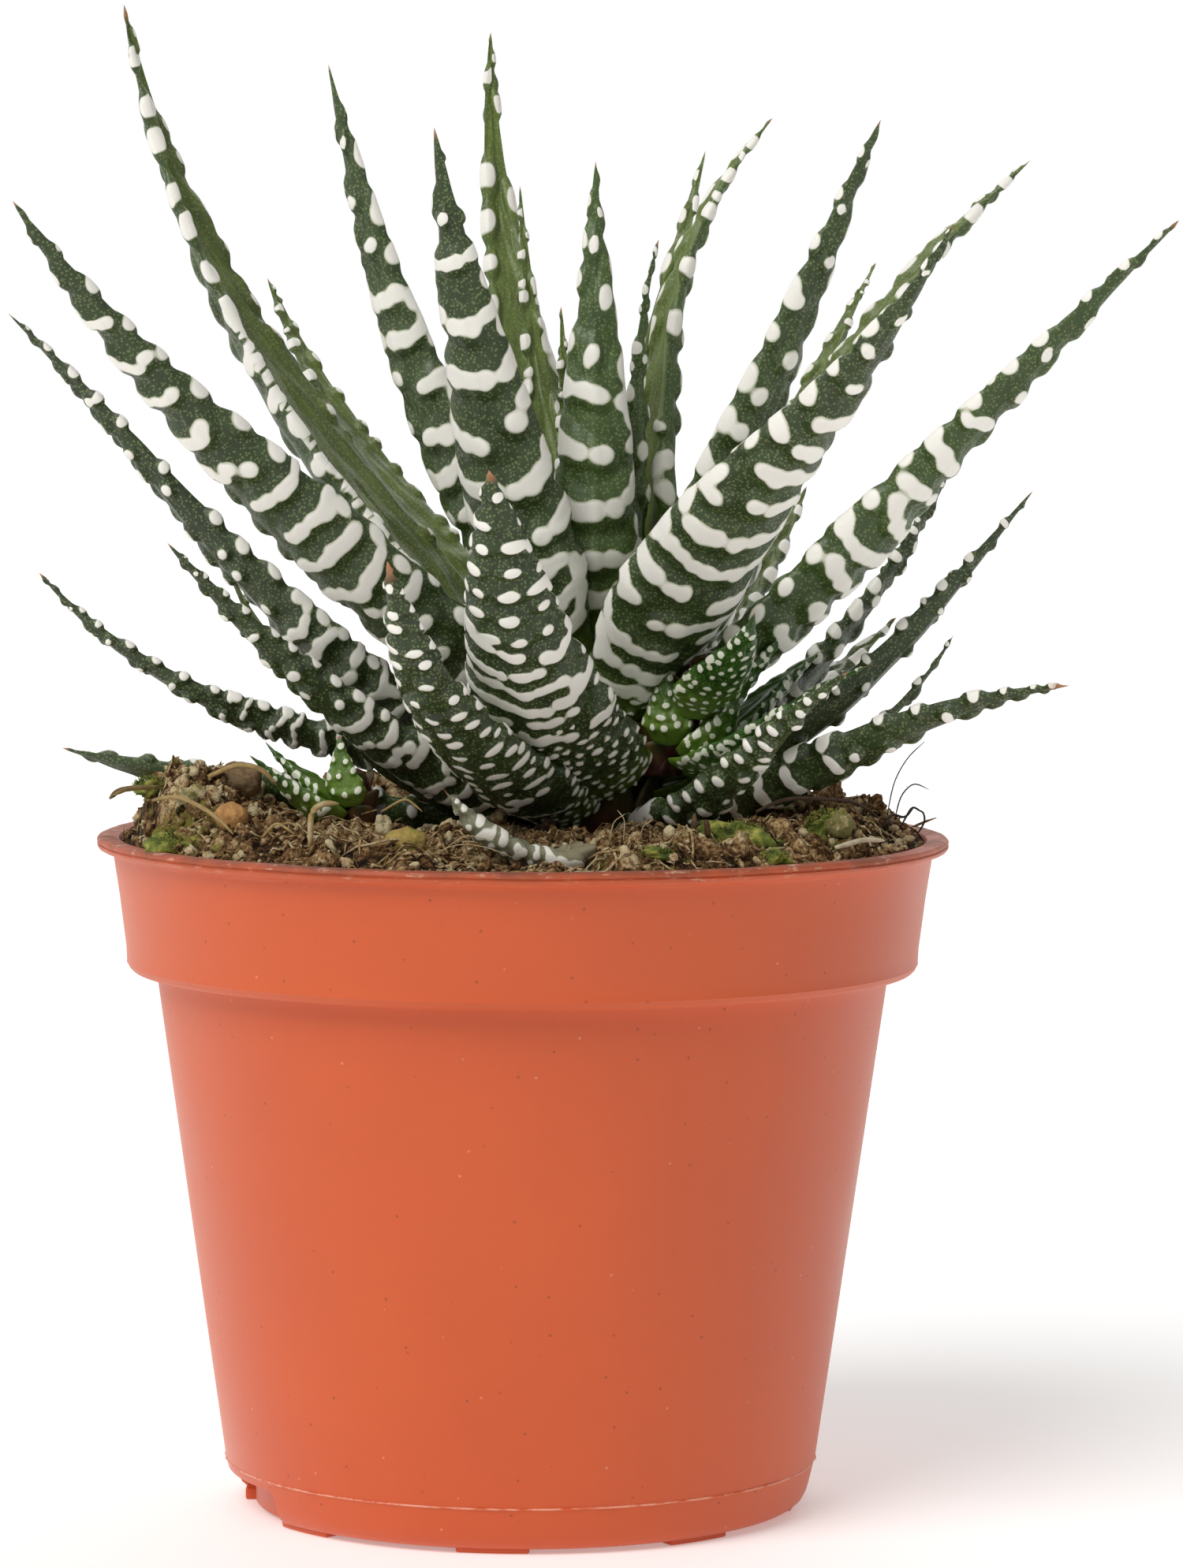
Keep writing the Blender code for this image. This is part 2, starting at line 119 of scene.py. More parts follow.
def dress(piece, stuff, replaces=None):
    piece.data.materials.clear()
    piece.data.materials.append(stuff)
    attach(piece, "root")
    if replaces:
        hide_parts(replaces)
    return piece


def addAttribute(piece, name, values):
    data = piece.data.attributes.new(name, "FLOAT", "POINT")
    data.data.foreach_set("value", np.asarray(values, np.float32).ravel())


def pickOnly(piece):
    bpy.ops.object.select_all(action="DESELECT")
    piece.select_set(True)
    bpy.context.view_layer.objects.active = piece


def turnOutward(piece, merge=None):
    # all faces point outwards, once points closer than merge are one, mm
    pickOnly(piece)
    bpy.ops.object.mode_set(mode="EDIT")
    bpy.ops.mesh.select_all(action="SELECT")
    if merge:
        bpy.ops.mesh.remove_doubles(threshold=merge * mm)
    bpy.ops.mesh.normals_make_consistent(inside=False)
    bpy.ops.object.mode_set(mode="OBJECT")


def wrappedFaces(rows, columns, tipAt, footAt):
    # quads round a tube of rows and columns, closed to one point at each end
    grid = np.arange(rows * columns).reshape(rows, columns)
    after = np.roll(grid, -1, axis=1)
    faces = np.stack([grid[:-1], after[:-1], after[1:], grid[1:]], axis=-1).reshape(-1, 4).tolist()
    faces += [(int(a), int(b), tipAt) for a, b in zip(grid[-1], after[-1])]
    faces += [(int(b), int(a), footAt) for a, b in zip(grid[0], after[0])]
    return faces


# camera: place in mm, tilt down and roll in degrees, focal length in mm
view = {"place": (7.2, -645.3, 126.6), "down": 4.43, "roll": 0.29, "lens": 140.4}

cameraData = bpy.data.cameras.new("viewCamera")
cameraData.lens = view["lens"]
cameraData.clip_start = 0.01
camera = bpy.data.objects.new("viewCamera", cameraData)
bpy.context.scene.collection.objects.link(camera)
camera.matrix_world = (Matrix.Translation(Vector(view["place"]) * mm)
                       @ Matrix.Rotation(math.radians(90 - view["down"]), 4, "X")
                       @ Matrix.Rotation(math.radians(view["roll"]), 4, "Z"))
bpy.context.scene.camera = camera
bpy.context.scene.view_settings.view_transform = "Standard"

studio = {
    "ambient": 0.31,       # light that the white room gives
    "seenWhite": 1.0,      # how bright the room is in reflections
    "leftRoom": 1.25, "rightRoom": 0.5,  # the room is brighter at the left
    "suns": [  # name, direction it comes from, softness in degrees, strength
        ("keySun", (-0.58, -0.76, 1.0), 36, 1.84),
        ("fillSun", (0.8, -0.4, 0.7), 70, 0.08),
        ("backSun", (0.15, 0.8, 0.9), 50, 0.7),
    ],
    "floorRadius": 6.0,    # metres
    "floorGlow": 0.28,     # lit from within, as on a light table, so that shadows stay faint
}

world = bpy.data.worlds.new("studioWorld")
world.use_nodes = True
room = world.node_tree
lightPath = addNode(room, "ShaderNodeLightPath")
ways = addNode(room, "ShaderNodeSeparateXYZ",
               links={0: addNode(room, "ShaderNodeTexCoord").outputs["Generated"]})
leftShare = addNode(room, "ShaderNodeMapRange",
                    values={"From Min": -1.0, "To Min": studio["leftRoom"], "To Max": studio["rightRoom"]},
                    links={"Value": ways.outputs["X"]})
glow = addNode(room, "ShaderNodeMapRange", values={"To Min": studio["ambient"], "To Max": studio["seenWhite"]},
               links={"Value": lightPath.outputs["Is Glossy Ray"]})
sided = addNode(room, "ShaderNodeMath", {"operation": "MULTIPLY"},
                links={0: glow.outputs["Result"], 1: leftShare.outputs["Result"]})
strength = addNode(room, "ShaderNodeMath", {"operation": "MAXIMUM"},
                   links={0: lightPath.outputs["Is Camera Ray"], 1: sided.outputs[0]})
room.links.new(strength.outputs[0], room.nodes["Background"].inputs["Strength"])
room.nodes["Background"].inputs["Color"].default_value = linear("#FFFFFF")
bpy.context.scene.world = world

for sunName, comesFrom, softness, power in studio["suns"]:
    sunData = bpy.data.lights.new(sunName, "SUN")
    sunData.angle = math.radians(softness)
    sunData.energy = power
    sun = bpy.data.objects.new(sunName, sunData)
    bpy.context.scene.collection.objects.link(sun)
    sun.rotation_mode = "QUATERNION"
    sun.rotation_quaternion = Vector(comesFrom).to_track_quat("Z", "Y")

# matt painted board, no sheen
floorPaint = newMaterial("paintedBoard", {
    "Base Color": linear("#F6F6F4"), "Roughness": 0.85, "Specular IOR Level": 0.2,
    "Emission Color": linear("#FFFFFF"), "Emission Strength": studio["floorGlow"]})[0]
bpy.ops.mesh.primitive_circle_add(vertices=96, radius=studio["floorRadius"], fill_type="NGON", location=(0, 0, 0))
floor = bpy.context.object
floor.name = "floor"
floor.data.materials.append(floorPaint)
print("camera, light and floor set")


# fleshy leaf: waxy cuticle with fine pale cells, thick white glossy warts on it
leafSkin = {
    "below": "#2E3A1F",
    "belowBright": "#4D642E",
    "above": "#505C29",
    "aboveBright": "#667734",
    "cells": "#8C9A64",
    "base": "#5E7322",
    "wart": "#F7F3EA",
    "wartEdge": "#A9AF8C",
    "dry": "#A9724F",
    "cellPitch": 0.36,     # real cells are about 0.22 mm, drawn coarser so that they show
    "roughness": 0.4,
}


def makeLeafMaterial(name, look):
    # cuticle wax: soft gloss, IOR of plant wax about 1.44
    stuff, tree, shader, place = newMaterial(name, {
        "Roughness": look["roughness"], "IOR": 1.44, "Subsurface Weight": 0.06,
        "Subsurface Radius": (0.5, 0.9, 0.3), "Subsurface Scale": 0.001})
    field = {}
    for key in ("wart", "tipGap", "footGap", "upper", "tint", "across"):
        field[key] = addNode(tree, "ShaderNodeAttribute", {"attribute_name": key}).outputs["Fac"]
    belowMix = addNode(tree, "ShaderNodeMix", colourMix,
                       {6: linear(look["below"]), 7: linear(look["belowBright"])}, {0: field["tint"]})
    aboveMix = addNode(tree, "ShaderNodeMix", colourMix,
                       {6: linear(look["above"]), 7: linear(look["aboveBright"])}, {0: field["tint"]})
    sides = addNode(tree, "ShaderNodeMix", colourMix,
                    links={0: field["upper"], 6: belowMix.outputs[2], 7: aboveMix.outputs[2]})
    # lengthwise streaks 0.8 mm wide, plainest on the upper face
    along = addNode(tree, "ShaderNodeMath", {"operation": "MULTIPLY"}, {1: 0.06}, {0: field["footGap"]})
    skinPlace = addNode(tree, "ShaderNodeCombineXYZ", links={"X": field["across"], "Y": along.outputs[0],
                                                             "Z": field["tint"]})
    streak = addNode(tree, "ShaderNodeTexNoise", values={"Scale": 1.3, "Detail": 3.0, "Roughness": 0.6},
                     links={"Vector": skinPlace.outputs[0]})
    streakDepth = addNode(tree, "ShaderNodeMapRange", values={"To Min": 0.25, "To Max": 0.85},
                          links={"Value": field["upper"]})
    streakShare = addNode(tree, "ShaderNodeMapRange",
                          values={"From Min": 0.32, "From Max": 0.68, "To Min": 0.62, "To Max": 1.35},
                          links={"Value": streak.outputs["Fac"]})
    streaked = addNode(tree, "ShaderNodeMix", multiplyMix,
                       links={0: streakDepth.outputs["Result"], 6: sides.outputs[2], 7: streakShare.outputs["Result"]})
    # slow patches, 5 mm
    patch = addNode(tree, "ShaderNodeTexNoise", values={"Scale": 200.0, "Detail": 3.0}, links={"Vector": place})
    patchShare = addNode(tree, "ShaderNodeMapRange",
                         values={"From Min": 0.3, "From Max": 0.75, "To Min": 0.72, "To Max": 1.22},
                         links={"Value": patch.outputs["Fac"]})
    patched = addNode(tree, "ShaderNodeMix", multiplyMix, {0: 1.0},
                      {6: streaked.outputs[2], 7: patchShare.outputs["Result"]})
    # fine pale cells
    cells = addNode(tree, "ShaderNodeTexVoronoi", values={"Scale": 1000 / look["cellPitch"], "Randomness": 0.9},
                    links={"Vector": place})
    cellSpot = addNode(tree, "ShaderNodeMapRange", softStep,
                       {"From Min": 0.48, "From Max": 0.16, "To Min": 0.0, "To Max": 0.5},
                       {"Value": cells.outputs["Distance"]})
    celled = addNode(tree, "ShaderNodeMix", colourMix, {7: linear(look["cells"])},
                     {0: cellSpot.outputs["Result"], 6: patched.outputs[2]})
    # pale yellow green where the leaf leaves the stem
    nearFoot = addNode(tree, "ShaderNodeMapRange", softStep,
                       {"From Min": 9.0, "From Max": 1.0, "To Min": 0.0, "To Max": 0.75},
                       {"Value": field["footGap"]})
    footed = addNode(tree, "ShaderNodeMix", colourMix, {7: linear(look["base"])},
                     {0: nearFoot.outputs["Result"], 6: celled.outputs[2]})
    # warts: crisp edge where the field passes its level, paler to the middle
    ragged = addNode(tree, "ShaderNodeTexNoise", values={"Scale": 1100.0, "Detail": 3.0, "Roughness": 0.6},
                     links={"Vector": place})
    raggedDepth = addNode(tree, "ShaderNodeMapRange",
                          values={"From Min": 6.0, "From Max": 26.0, "To Min": 0.02, "To Max": 0.18},
                          links={"Value": field["tipGap"]})
    raggedEdge = addNode(tree, "ShaderNodeMath", {"operation": "MULTIPLY_ADD"},
                         links={0: ragged.outputs["Fac"], 1: raggedDepth.outputs["Result"], 2: field["wart"]})
    wartShare = addNode(tree, "ShaderNodeMapRange", softStep,
                        {"From Min": 0.45, "From Max": 0.56}, {"Value": raggedEdge.outputs[0]})
    wartRamp = addNode(tree, "ShaderNodeValToRGB", links={"Fac": field["wart"]},
                       ramp=[(0.38, look["wartEdge"]), (0.6, look["wart"])])
    warted = addNode(tree, "ShaderNodeMix", colourMix,
                     links={0: wartShare.outputs["Result"], 6: footed.outputs[2], 7: wartRamp.outputs["Color"]})
    # dry brown tip
    nearTip = addNode(tree, "ShaderNodeMapRange", softStep,
                      {"From Min": 1.0, "From Max": 0.2}, {"Value": field["tipGap"]})
    tipped = addNode(tree, "ShaderNodeMix", colourMix, {7: linear(look["dry"])},
                     {0: nearTip.outputs["Result"], 6: warted.outputs[2]})
    # cuticle grain 0.3 mm and the cells stand up a little
    grain = addNode(tree, "ShaderNodeTexNoise", values={"Scale": 2500.0, "Detail": 2.0}, links={"Vector": place})
    rough = addNode(tree, "ShaderNodeMath", {"operation": "MULTIPLY_ADD"}, {1: 0.6},
                    {0: cellSpot.outputs["Result"], 2: grain.outputs["Fac"]})
    finishSurface(tree, shader, tipped.outputs[2], rough.outputs[0], 0.35, 0.08)
    shine = addNode(tree, "ShaderNodeMapRange",
                    values={"To Min": look["roughness"] + 0.08, "To Max": look["roughness"] - 0.08},
                    links={"Value": grain.outputs["Fac"]})
    tree.links.new(shine.outputs["Result"], shader.inputs["Roughness"])
    return stuff


leafStuff = makeLeafMaterial("waxyLeafCuticle", leafSkin)
pupSkin = dict(leafSkin, below="#284416", belowBright="#36591B", above="#3D621E", aboveBright="#4A7424",
               base="#6E8A30", cells="#6C9A48", wart="#E8EAD6", roughness=0.33)
pupStuff = makeLeafMaterial("youngLeafCuticle", pupSkin)
witherSkin = dict(leafSkin, below="#71745C", belowBright="#86866C", above="#83846B", aboveBright="#8E8E77",
                  base="#8A7E62", cells="#A3A189", wart="#EAE6DA", dry="#94502F", roughness=0.6)
witherStuff = makeLeafMaterial("witheredLeafCuticle", witherSkin)


def readRings(node):
    # the CAD leaf is nine rings of eight corners and a tip: gives each ring's middle, half width, way across and
    # way up, and the tip
    points = pointsOf(node)
    _, first, back = np.unique(np.round(points / (0.002 * mm)).astype(int), axis=0, return_index=True,
                               return_inverse=True)
    places, back = points[first], back.ravel()
    near = [set() for _ in places]
    for face in node.data.polygons:
        corners = {int(back[v]) for v in face.vertices}
        for corner in corners:
            near[corner] |= corners - {corner}
    for start in range(len(places)):  # the tip is the corner from which the rings follow one by one
        seen, layers, edge = {start}, [], {start}
        while edge:
            edge = set().union(*(near[k] for k in edge)) - seen
            seen |= edge
            if edge:
                layers.append(sorted(edge))
        if [len(layer) for layer in layers] == [8] * 9:
            break
    else:
        raise ValueError(node.name + " has no nine rings")
    tip = places[start]
    rings = []
    for layer in reversed(layers):
        ring = places[layer]
        gaps = np.linalg.norm(ring[:, None] - ring[None], axis=2)
        a, b = np.unravel_index(gaps.argmax(), gaps.shape)
        middle, side = (ring[a] + ring[b]) / 2, (ring[a] - ring[b])
        half = np.linalg.norm(side) / 2
        side /= 2 * half
        off = ring - middle
        off -= np.outer(off @ side, side)
        keel = off[np.linalg.norm(off, axis=1).argmax()]
        rings.append((middle, half, side, -keel / np.linalg.norm(keel)))
    return rings, tip


# cross section of a leaf, as shares of its half width
section = {"below": 0.64, "keelWide": 0.16, "above": 0.10, "marginBlend": 0.12}


def leafSection(coat):
    # columns round a section: x across, y up, normal and the skin distance q, -1 and 1 at the margins, 0 at the keel
    quarter = 1000  # t runs from the keel, to +x margin at a quarter, over the top, to -x margin
    t = np.linspace(0, 2 * math.pi, 4 * quarter + 1)
    x = np.sin(t)
    keel = coat["keel"] * np.exp(-(x / section["keelWide"]) ** 2)
    channel = coat["channel"] * np.cos(np.pi * x / 2) ** 2
    upper = section["above"] * np.sqrt(np.clip(1 - x * x, 0, 1)) - channel
    y = np.where(np.cos(t) > 0, -section["below"] * np.cos(t) - keel * np.clip(np.cos(t), 0, 1), upper)
    x, y = x[:-1], y[:-1]
    step = np.hypot(np.diff(np.append(x, x[0])), np.diff(np.append(y, y[0])))
    arc = np.concatenate([[0], np.cumsum(step)])
    _, marginAt, crownAt, otherAt, wholeArc = arc[::quarter]
    below, above = coat["columnsBelow"], coat["columnsAbove"]
    wanted = np.concatenate([np.linspace(0, marginAt, below // 2, endpoint=False),
                             np.linspace(marginAt, otherAt, above, endpoint=False),
                             np.linspace(otherAt, wholeArc, below // 2, endpoint=False)])
    index = np.clip(np.searchsorted(arc, wanted), 0, 4 * quarter - 1)
    gap = 40  # the normal is taken over this many steps each way, which rounds the margins
    aheadX = np.roll(x, -gap)[index] - np.roll(x, gap)[index]
    aheadY = np.roll(y, -gap)[index] - np.roll(y, gap)[index]
    size = np.hypot(aheadX, aheadY)
    q = np.where(wanted > crownAt, (wanted - wholeArc) / marginAt, wanted / marginAt)
    upperShare = np.clip((np.abs(q) - 1.0) / section["marginBlend"], 0, 1)
    return x[index], y[index], aheadY / size, -aheadX / size, q, upperShare, marginAt


# what every leaf starts from; its coat is the layer of warts
coatBase = {
    "rows": 210, "columnsBelow": 48, "columnsAbove": 26,
    "keel": 0.06, "channel": 0.16,
    "pitch": (3.0, 4.5, 5.4, 4.8),       # mm between bands: foot, third, two thirds, tip
    "thick": (0.7, 1.1, 1.2, 0.95),      # half height of a band, mm
    "bead": 1.25,                        # half width of one lobe, mm
    "cover": (0.6, 0.92),                # how much of the width a band covers
    "full": 0.45,                        # chance that a band runs on up the margins
    "solid": 0.62, "broken": 0.72,       # share of the length where bands give way to single beads
    "gaps": 0.3,                         # chance that a band is split into two halves
    "ovals": (2.0, 2.0),                 # share of the length that has rows of ovals in place of bands
    "ovalSize": (0.75, 0.55), "ovalGap": 2.9,
    "sweep": 4.4,                        # how far a full band runs to the tip along the margins, mm
    "marginLong": 1.65, "marginWide": 0.82, "marginChance": 0.92,
    "aboveChance": 0.35, "aboveReach": 1.16,
    "middle": 1.2,                       # chance of a bead between the margins near the tip
    "middleSize": (1.15, 0.85),
    "first": 5.0, "last": 1.6,
    "raise": 0.68,                       # how high a wart stands, mm
    "footDots": 0.0,                     # the foot is crowded with small dots up to here, mm
    "roughEdge": None,                   # a crust of pips: margin, from and to in shares of the length
    "tint": 0.15,                        # 0 dark, 1 bright green
    "dry": 0.9,                          # length of the brown tip, mm
    "foot": 1.35, "ridges": 0.07,        # how much wider the foot is, height of ridges on the upper face
    "slim": (0.55, 0.6, 0.66, 0.73, 0.83, 1.0),  # width near the tip, at the distances of slimStops
    "wobble": 0.12,                      # slow unevenness of the flesh, mm
}
slimStops = (0, 6, 12, 20, 32, 48)    # mm from the tip
lengthKnots = (0.0, 0.33, 0.67, 1.0)  # shares of the length at which pitch and thick are given


def bandWarts(v, reach, thick, coat, rng):
    # a wavy band: fused lobes strung on a path whose ends curl to the tip; v along and reach to the margin, mm
    bead = min(coat["bead"], 0.36 * reach)
    full = rng.random() < coat["full"]
    span = reach * (1.03 if full else rng.uniform(*coat["cover"]))
    centre = 0 if full else (reach - span) * rng.uniform(-1, 1)
    sweep = (coat["sweep"] * min(1, reach / 6) * rng.uniform(0.7, 1.2, 2) if full
             else rng.uniform(0.1, 1.1, 2) * min(1, reach / 6))
    q = np.linspace(-1, 1, 121)
    shift = np.where(q < 0, sweep[0], sweep[1]) * np.abs(q) ** rng.uniform(3.0, 4.6)
    shift += rng.normal(0, 0.4) * q + 0.32 * np.sin(rng.uniform(2, 6) * q + rng.uniform(0, 6))
    gapAt = rng.uniform(-0.5, 0.5) if rng.random() < coat["gaps"] else None
    if gapAt is not None:
        shift += rng.uniform(0.3, 0.8) * rng.choice([-1, 1]) * np.sign(q - gapAt)
    u = centre + q * span
    far = np.concatenate([[0], np.cumsum(np.hypot(np.diff(u), np.diff(shift)))])
    count = max(2, int(round(far[-1] / (1.38 * bead))))  # lobes nearly touch
    warts = []
    for k in range(count + 1):
        at = far[-1] * min(max((k + rng.normal(0, 0.12)) / count, 0), 1)
        place = np.interp(at, far, u)
        if gapAt is not None and abs(place - centre - gapAt * span) < 0.8 * bead:
            continue
        rise = np.interp(at, far, shift)
        ahead, behind = min(at + 0.3, far[-1]), max(at - 0.3, 0)
        slant = math.atan2(np.interp(ahead, far, shift) - np.interp(behind, far, shift),
                           np.interp(ahead, far, u) - np.interp(behind, far, u))
        edge = min(1, abs(place) / reach) ** 6
        warts.append((v + rise + rng.normal(0, 0.2), place, thick * rng.uniform(0.82, 1.28) * (1 - 0.42 * edge),
                      bead * rng.uniform(0.85, 1.15), slant, rng.uniform(0.92, 1.1)))
    return warts


def layWarts(length, reachOf, coat, rng):
    # every wart of one leaf: along, across, half thickness, half width, slant, size; mm from the foot and the keel
    warts = []
    v = coat["first"]
    turn = rng.choice([-1, 1])
    while v < length - coat["last"]:
        share = v / length
        reach = reachOf(share)
        pitch = np.interp(share, lengthKnots, coat["pitch"])
        thick = np.interp(share, lengthKnots, coat["thick"]) * min(1, 0.45 + reach / 7)
        chance = np.interp(share, (coat["solid"], coat["broken"]), (1.0, 0.0))
        small = min(1, 0.34 + reach / 3.0)  # warts shrink with the leaf, but never to nothing
        long, wide = coat["middleSize"]
        if coat["ovals"][0] <= share <= coat["ovals"][1]:
            ovalWide, ovalLong = coat["ovalSize"]
            count = max(1, int(round(1.86 * reach / coat["ovalGap"])))
            start = rng.uniform(0.2, 0.8)
            for k in range(count):
                u = reach * 0.93 * (2 * (k + start) / count - 1)
                w = ovalWide * rng.choice([0.75, 1.0, 1.0, 1.5], p=[0.25, 0.3, 0.25, 0.2]) * rng.uniform(0.9, 1.1)
                warts.append((v + rng.normal(0, 0.22) + 0.8 * (abs(u) / reach) ** 3, u,
                              ovalLong * rng.uniform(0.85, 1.15), min(w, 0.5 * reach), rng.normal(0, 0.12),
                              rng.uniform(0.95, 1.1)))
        elif rng.random() < chance:
            warts += bandWarts(v, reach, thick, coat, rng)
        elif rng.random() < coat["middle"] * np.interp(share, (0.6, 0.85, 1.0), (1.0, 0.75, 0.2)):
            turn = -turn
            warts.append((v + rng.normal(0, 0.4), turn * reach * rng.uniform(0.1, 0.5),
                          long * small * rng.uniform(0.8, 1.2), min(wide, 0.36 * reach) * rng.uniform(0.85, 1.2),
                          rng.uniform(-0.3, 0.3), 1.0))
            if reach > 3.4 and rng.random() < 0.6:  # a pair where the leaf is still wide
                warts.append((v + rng.normal(0, 0.5), -turn * reach * rng.uniform(0.25, 0.6),
                              long * rng.uniform(0.7, 1.1), wide * rng.uniform(0.7, 1.1), rng.uniform(-0.3, 0.3),
                              1.0))
        marginLong = coat["marginLong"] * small
        for side in (-1, 1):
            if rng.random() < coat["marginChance"]:  # the two margins take turns
                marginWide = min(coat["marginWide"], 0.12 + 0.34 * reach) * rng.uniform(0.85, 1.2)
                warts.append((v + pitch * (0.5 + 0.24 * side) + rng.normal(0, 0.35),
                              side * reach * rng.uniform(0.8, 0.96), marginLong * rng.uniform(0.7, 1.2), marginWide,
                              side * rng.uniform(-0.1, 0.25), rng.uniform(0.95, 1.1)))
            if rng.random() < coat["aboveChance"]:
                warts.append((v + rng.normal(0, 0.8), side * reach * rng.uniform(1.06, coat["aboveReach"]),
                              marginLong * rng.uniform(0.45, 0.8),
                              min(coat["marginWide"], 0.3 * reach) * rng.uniform(0.6, 0.85), 0.0, 1.0))
        v += pitch * rng.uniform(0.86, 1.14)
    if coat["roughEdge"]:  # a crust of small pale pips along one margin
        side, low, high = coat["roughEdge"]
        for at in np.arange(low * length, high * length, 0.55):  # 0.55 mm apart
            warts.append((at + rng.normal(0, 0.2), side * reachOf(at / length) * rng.uniform(1.0, 1.07),
                          rng.uniform(0.3, 0.55), rng.uniform(0.22, 0.36), rng.uniform(-0.6, 0.6), 0.95))
    dots, tries, dotGap = [], 900, 1.2  # small dots crowd the broad foot, 1.2 mm apart
    for _ in range(tries if coat["footDots"] else 0):
        along = rng.uniform(1.0, coat["footDots"])
        place = rng.uniform(-0.97, 0.97) * reachOf(along / length)
        if all(math.hypot(along - a, place - b) > dotGap for a, b in dots):
            dots.append((along, place))
            size = rng.uniform(0.34, 0.62)
            warts.append((along, place, size * 0.9, size * rng.uniform(0.9, 1.35), 0.0, 0.95))
    return np.array(warts)


# how a wart swells the skin
swelling = {
    "sharp": 1.2,                         # how fast it falls away from its middle
    "lean": 0.4, "leanLimits": (0.35, 1.7),  # it is fuller on the side of the foot
    "tail": 1.9, "tailHigh": 0.16, "tailNarrow": 0.7,  # flesh that falls away from it to the tip
    "from": 0.1, "range": 0.95,           # the part of the summed swelling that lifts the skin
    "halves": (0.0, 1.2, 3.0), "heights": (0.3, 0.85, 1.0),  # lower where the leaf's half width is small, mm
}


def growLeaf(nodeName, coat, stuff, seed):
    # the CAD leaf's spine and widths made smooth, with its warts as relief
    rings, tip = readRings(nodes[nodeName])
    rng = np.random.default_rng(seed)
    sections = len(rings)
    stops = np.append(np.arange(sections), sections) / sections
    middles = np.array([r[0] for r in rings] + [tip]) / mm
    curve = [np.polyfit(stops, middles[:, axis], 3) for axis in range(3)]
    fine = np.linspace(0, 1, 601)
    line = np.stack([np.polyval(c, fine) for c in curve], axis=1)
    far = np.concatenate([[0], np.cumsum(np.linalg.norm(np.diff(line, axis=0), axis=1))])
    length = far[-1]
    rows = max(60, int(coat["rows"] * min(1, length / 70)))
    share = np.linspace(0, 1, rows + 1)[:-1] * 0.994  # the last row is just short of the tip
    at = np.interp(share * length, far, fine)
    spine = np.stack([np.polyval(c, at) for c in curve], axis=1)
    way = unit(np.stack([np.polyval(np.polyder(c), at) for c in curve], axis=1))
    ringShare = np.interp(stops, fine, far) / length
    widths = np.array([r[1] for r in rings] + [0.0]) / mm
    face = np.array([r[3] for r in rings])
    face = np.stack([np.interp(at, stops[:-1], face[:, k]) for k in range(3)], axis=1)
    even = 7  # the turn of the face is evened out over this many rows each way
    kernel = np.ones(2 * even + 1) / (2 * even + 1)
    face = np.stack([np.convolve(np.pad(face[:, k], even, mode="edge"), kernel, "valid") for k in range(3)], axis=1)
    face = unit(face - way * (face * way).sum(axis=1)[:, None])
    side = np.cross(face, way)
    full = 0.7  # the tip is rounder than straight lines between rings make it
    half = np.interp(share, ringShare, widths ** (1 / full)) ** full
    half = half * np.interp(share, (0, 0.08, 0.3), (coat["foot"], 1 + (coat["foot"] - 1) * 0.8, 1))
    half = half * np.interp((1 - share) * length, slimStops[:len(coat["slim"])], coat["slim"])
    px, py, nx, ny, q, upper, marginAt = leafSection(coat)
    columns = len(q)

    def reachOf(s):
        return max(0.3, float(np.interp(s, share, half)) * marginAt)

    warts = layWarts(length, reachOf, coat, rng)
    along = (share * length)[:, None] * np.ones(columns)
    across = (half * marginAt)[:, None] * q[None, :]
    field = np.zeros_like(along)
    bulge = np.zeros_like(along)
    for v, u, long, wide, slant, size in warts:
        span = 4 * max(long, wide) + 1
        low, high = np.searchsorted(share * length, (v - span, v + span + 3))
        if high <= low:
            continue
        dv, du = along[low:high] - v, across[low:high] - u
        cs, sn = math.cos(slant), math.sin(slant)
        string, out = (du * cs + dv * sn) / wide, (dv * cs - du * sn) / long
        spot = size * np.exp(-swelling["sharp"] * (string * string + out * out))
        field[low:high] += spot ** 2
        bulge[low:high] += spot * np.clip(1 - swelling["lean"] * out, *swelling["leanLimits"])
        tail = np.where(dv > -0.5 * long, np.exp(-((np.maximum(dv, 0)) / (swelling["tail"] * long)) ** 2), 0.0)
        bulge[low:high] += swelling["tailHigh"] * tail * np.exp(-swelling["tailNarrow"] * (du / wide) ** 2)
    field = np.sqrt(field)
    lift = np.clip((bulge - swelling["from"]) / swelling["range"], 0, 1)
    lift = np.sqrt(1 - (1 - lift) ** 2)
    wide = np.interp(half, swelling["halves"], swelling["heights"])[:, None]
    out = coat["raise"] * lift * wide
    for _ in range(4):  # slow unevenness of the flesh
        a, b, c = rng.uniform(0.25, 0.9), rng.uniform(0.2, 0.8), rng.uniform(0, 6.28)
        out += coat["wobble"] / 2 * wide * np.sin(a * along + b * across + c) * np.sin(0.7 * a * along - c)
    out += coat["ridges"] * wide * upper[None, :] * (np.sin(2.1 * across + 0.04 * along)
                                                     + 0.6 * np.sin(5.3 * across - 0.07 * along))
    x = half[:, None] * px + out * nx
    y = half[:, None] * py + out * ny
    points = spine[:, None, :] + x[..., None] * side[:, None, :] + y[..., None] * face[:, None, :]
    points = np.vstack([points.reshape(-1, 3), tip / mm, spine[0] + face[0] * half[0] * -0.2]) * mm
    faces = wrappedFaces(rows, columns, rows * columns, rows * columns + 1)
    piece = meshPiece(nodeName + "_skin", points, faces, stuff, replaces=nodeName)
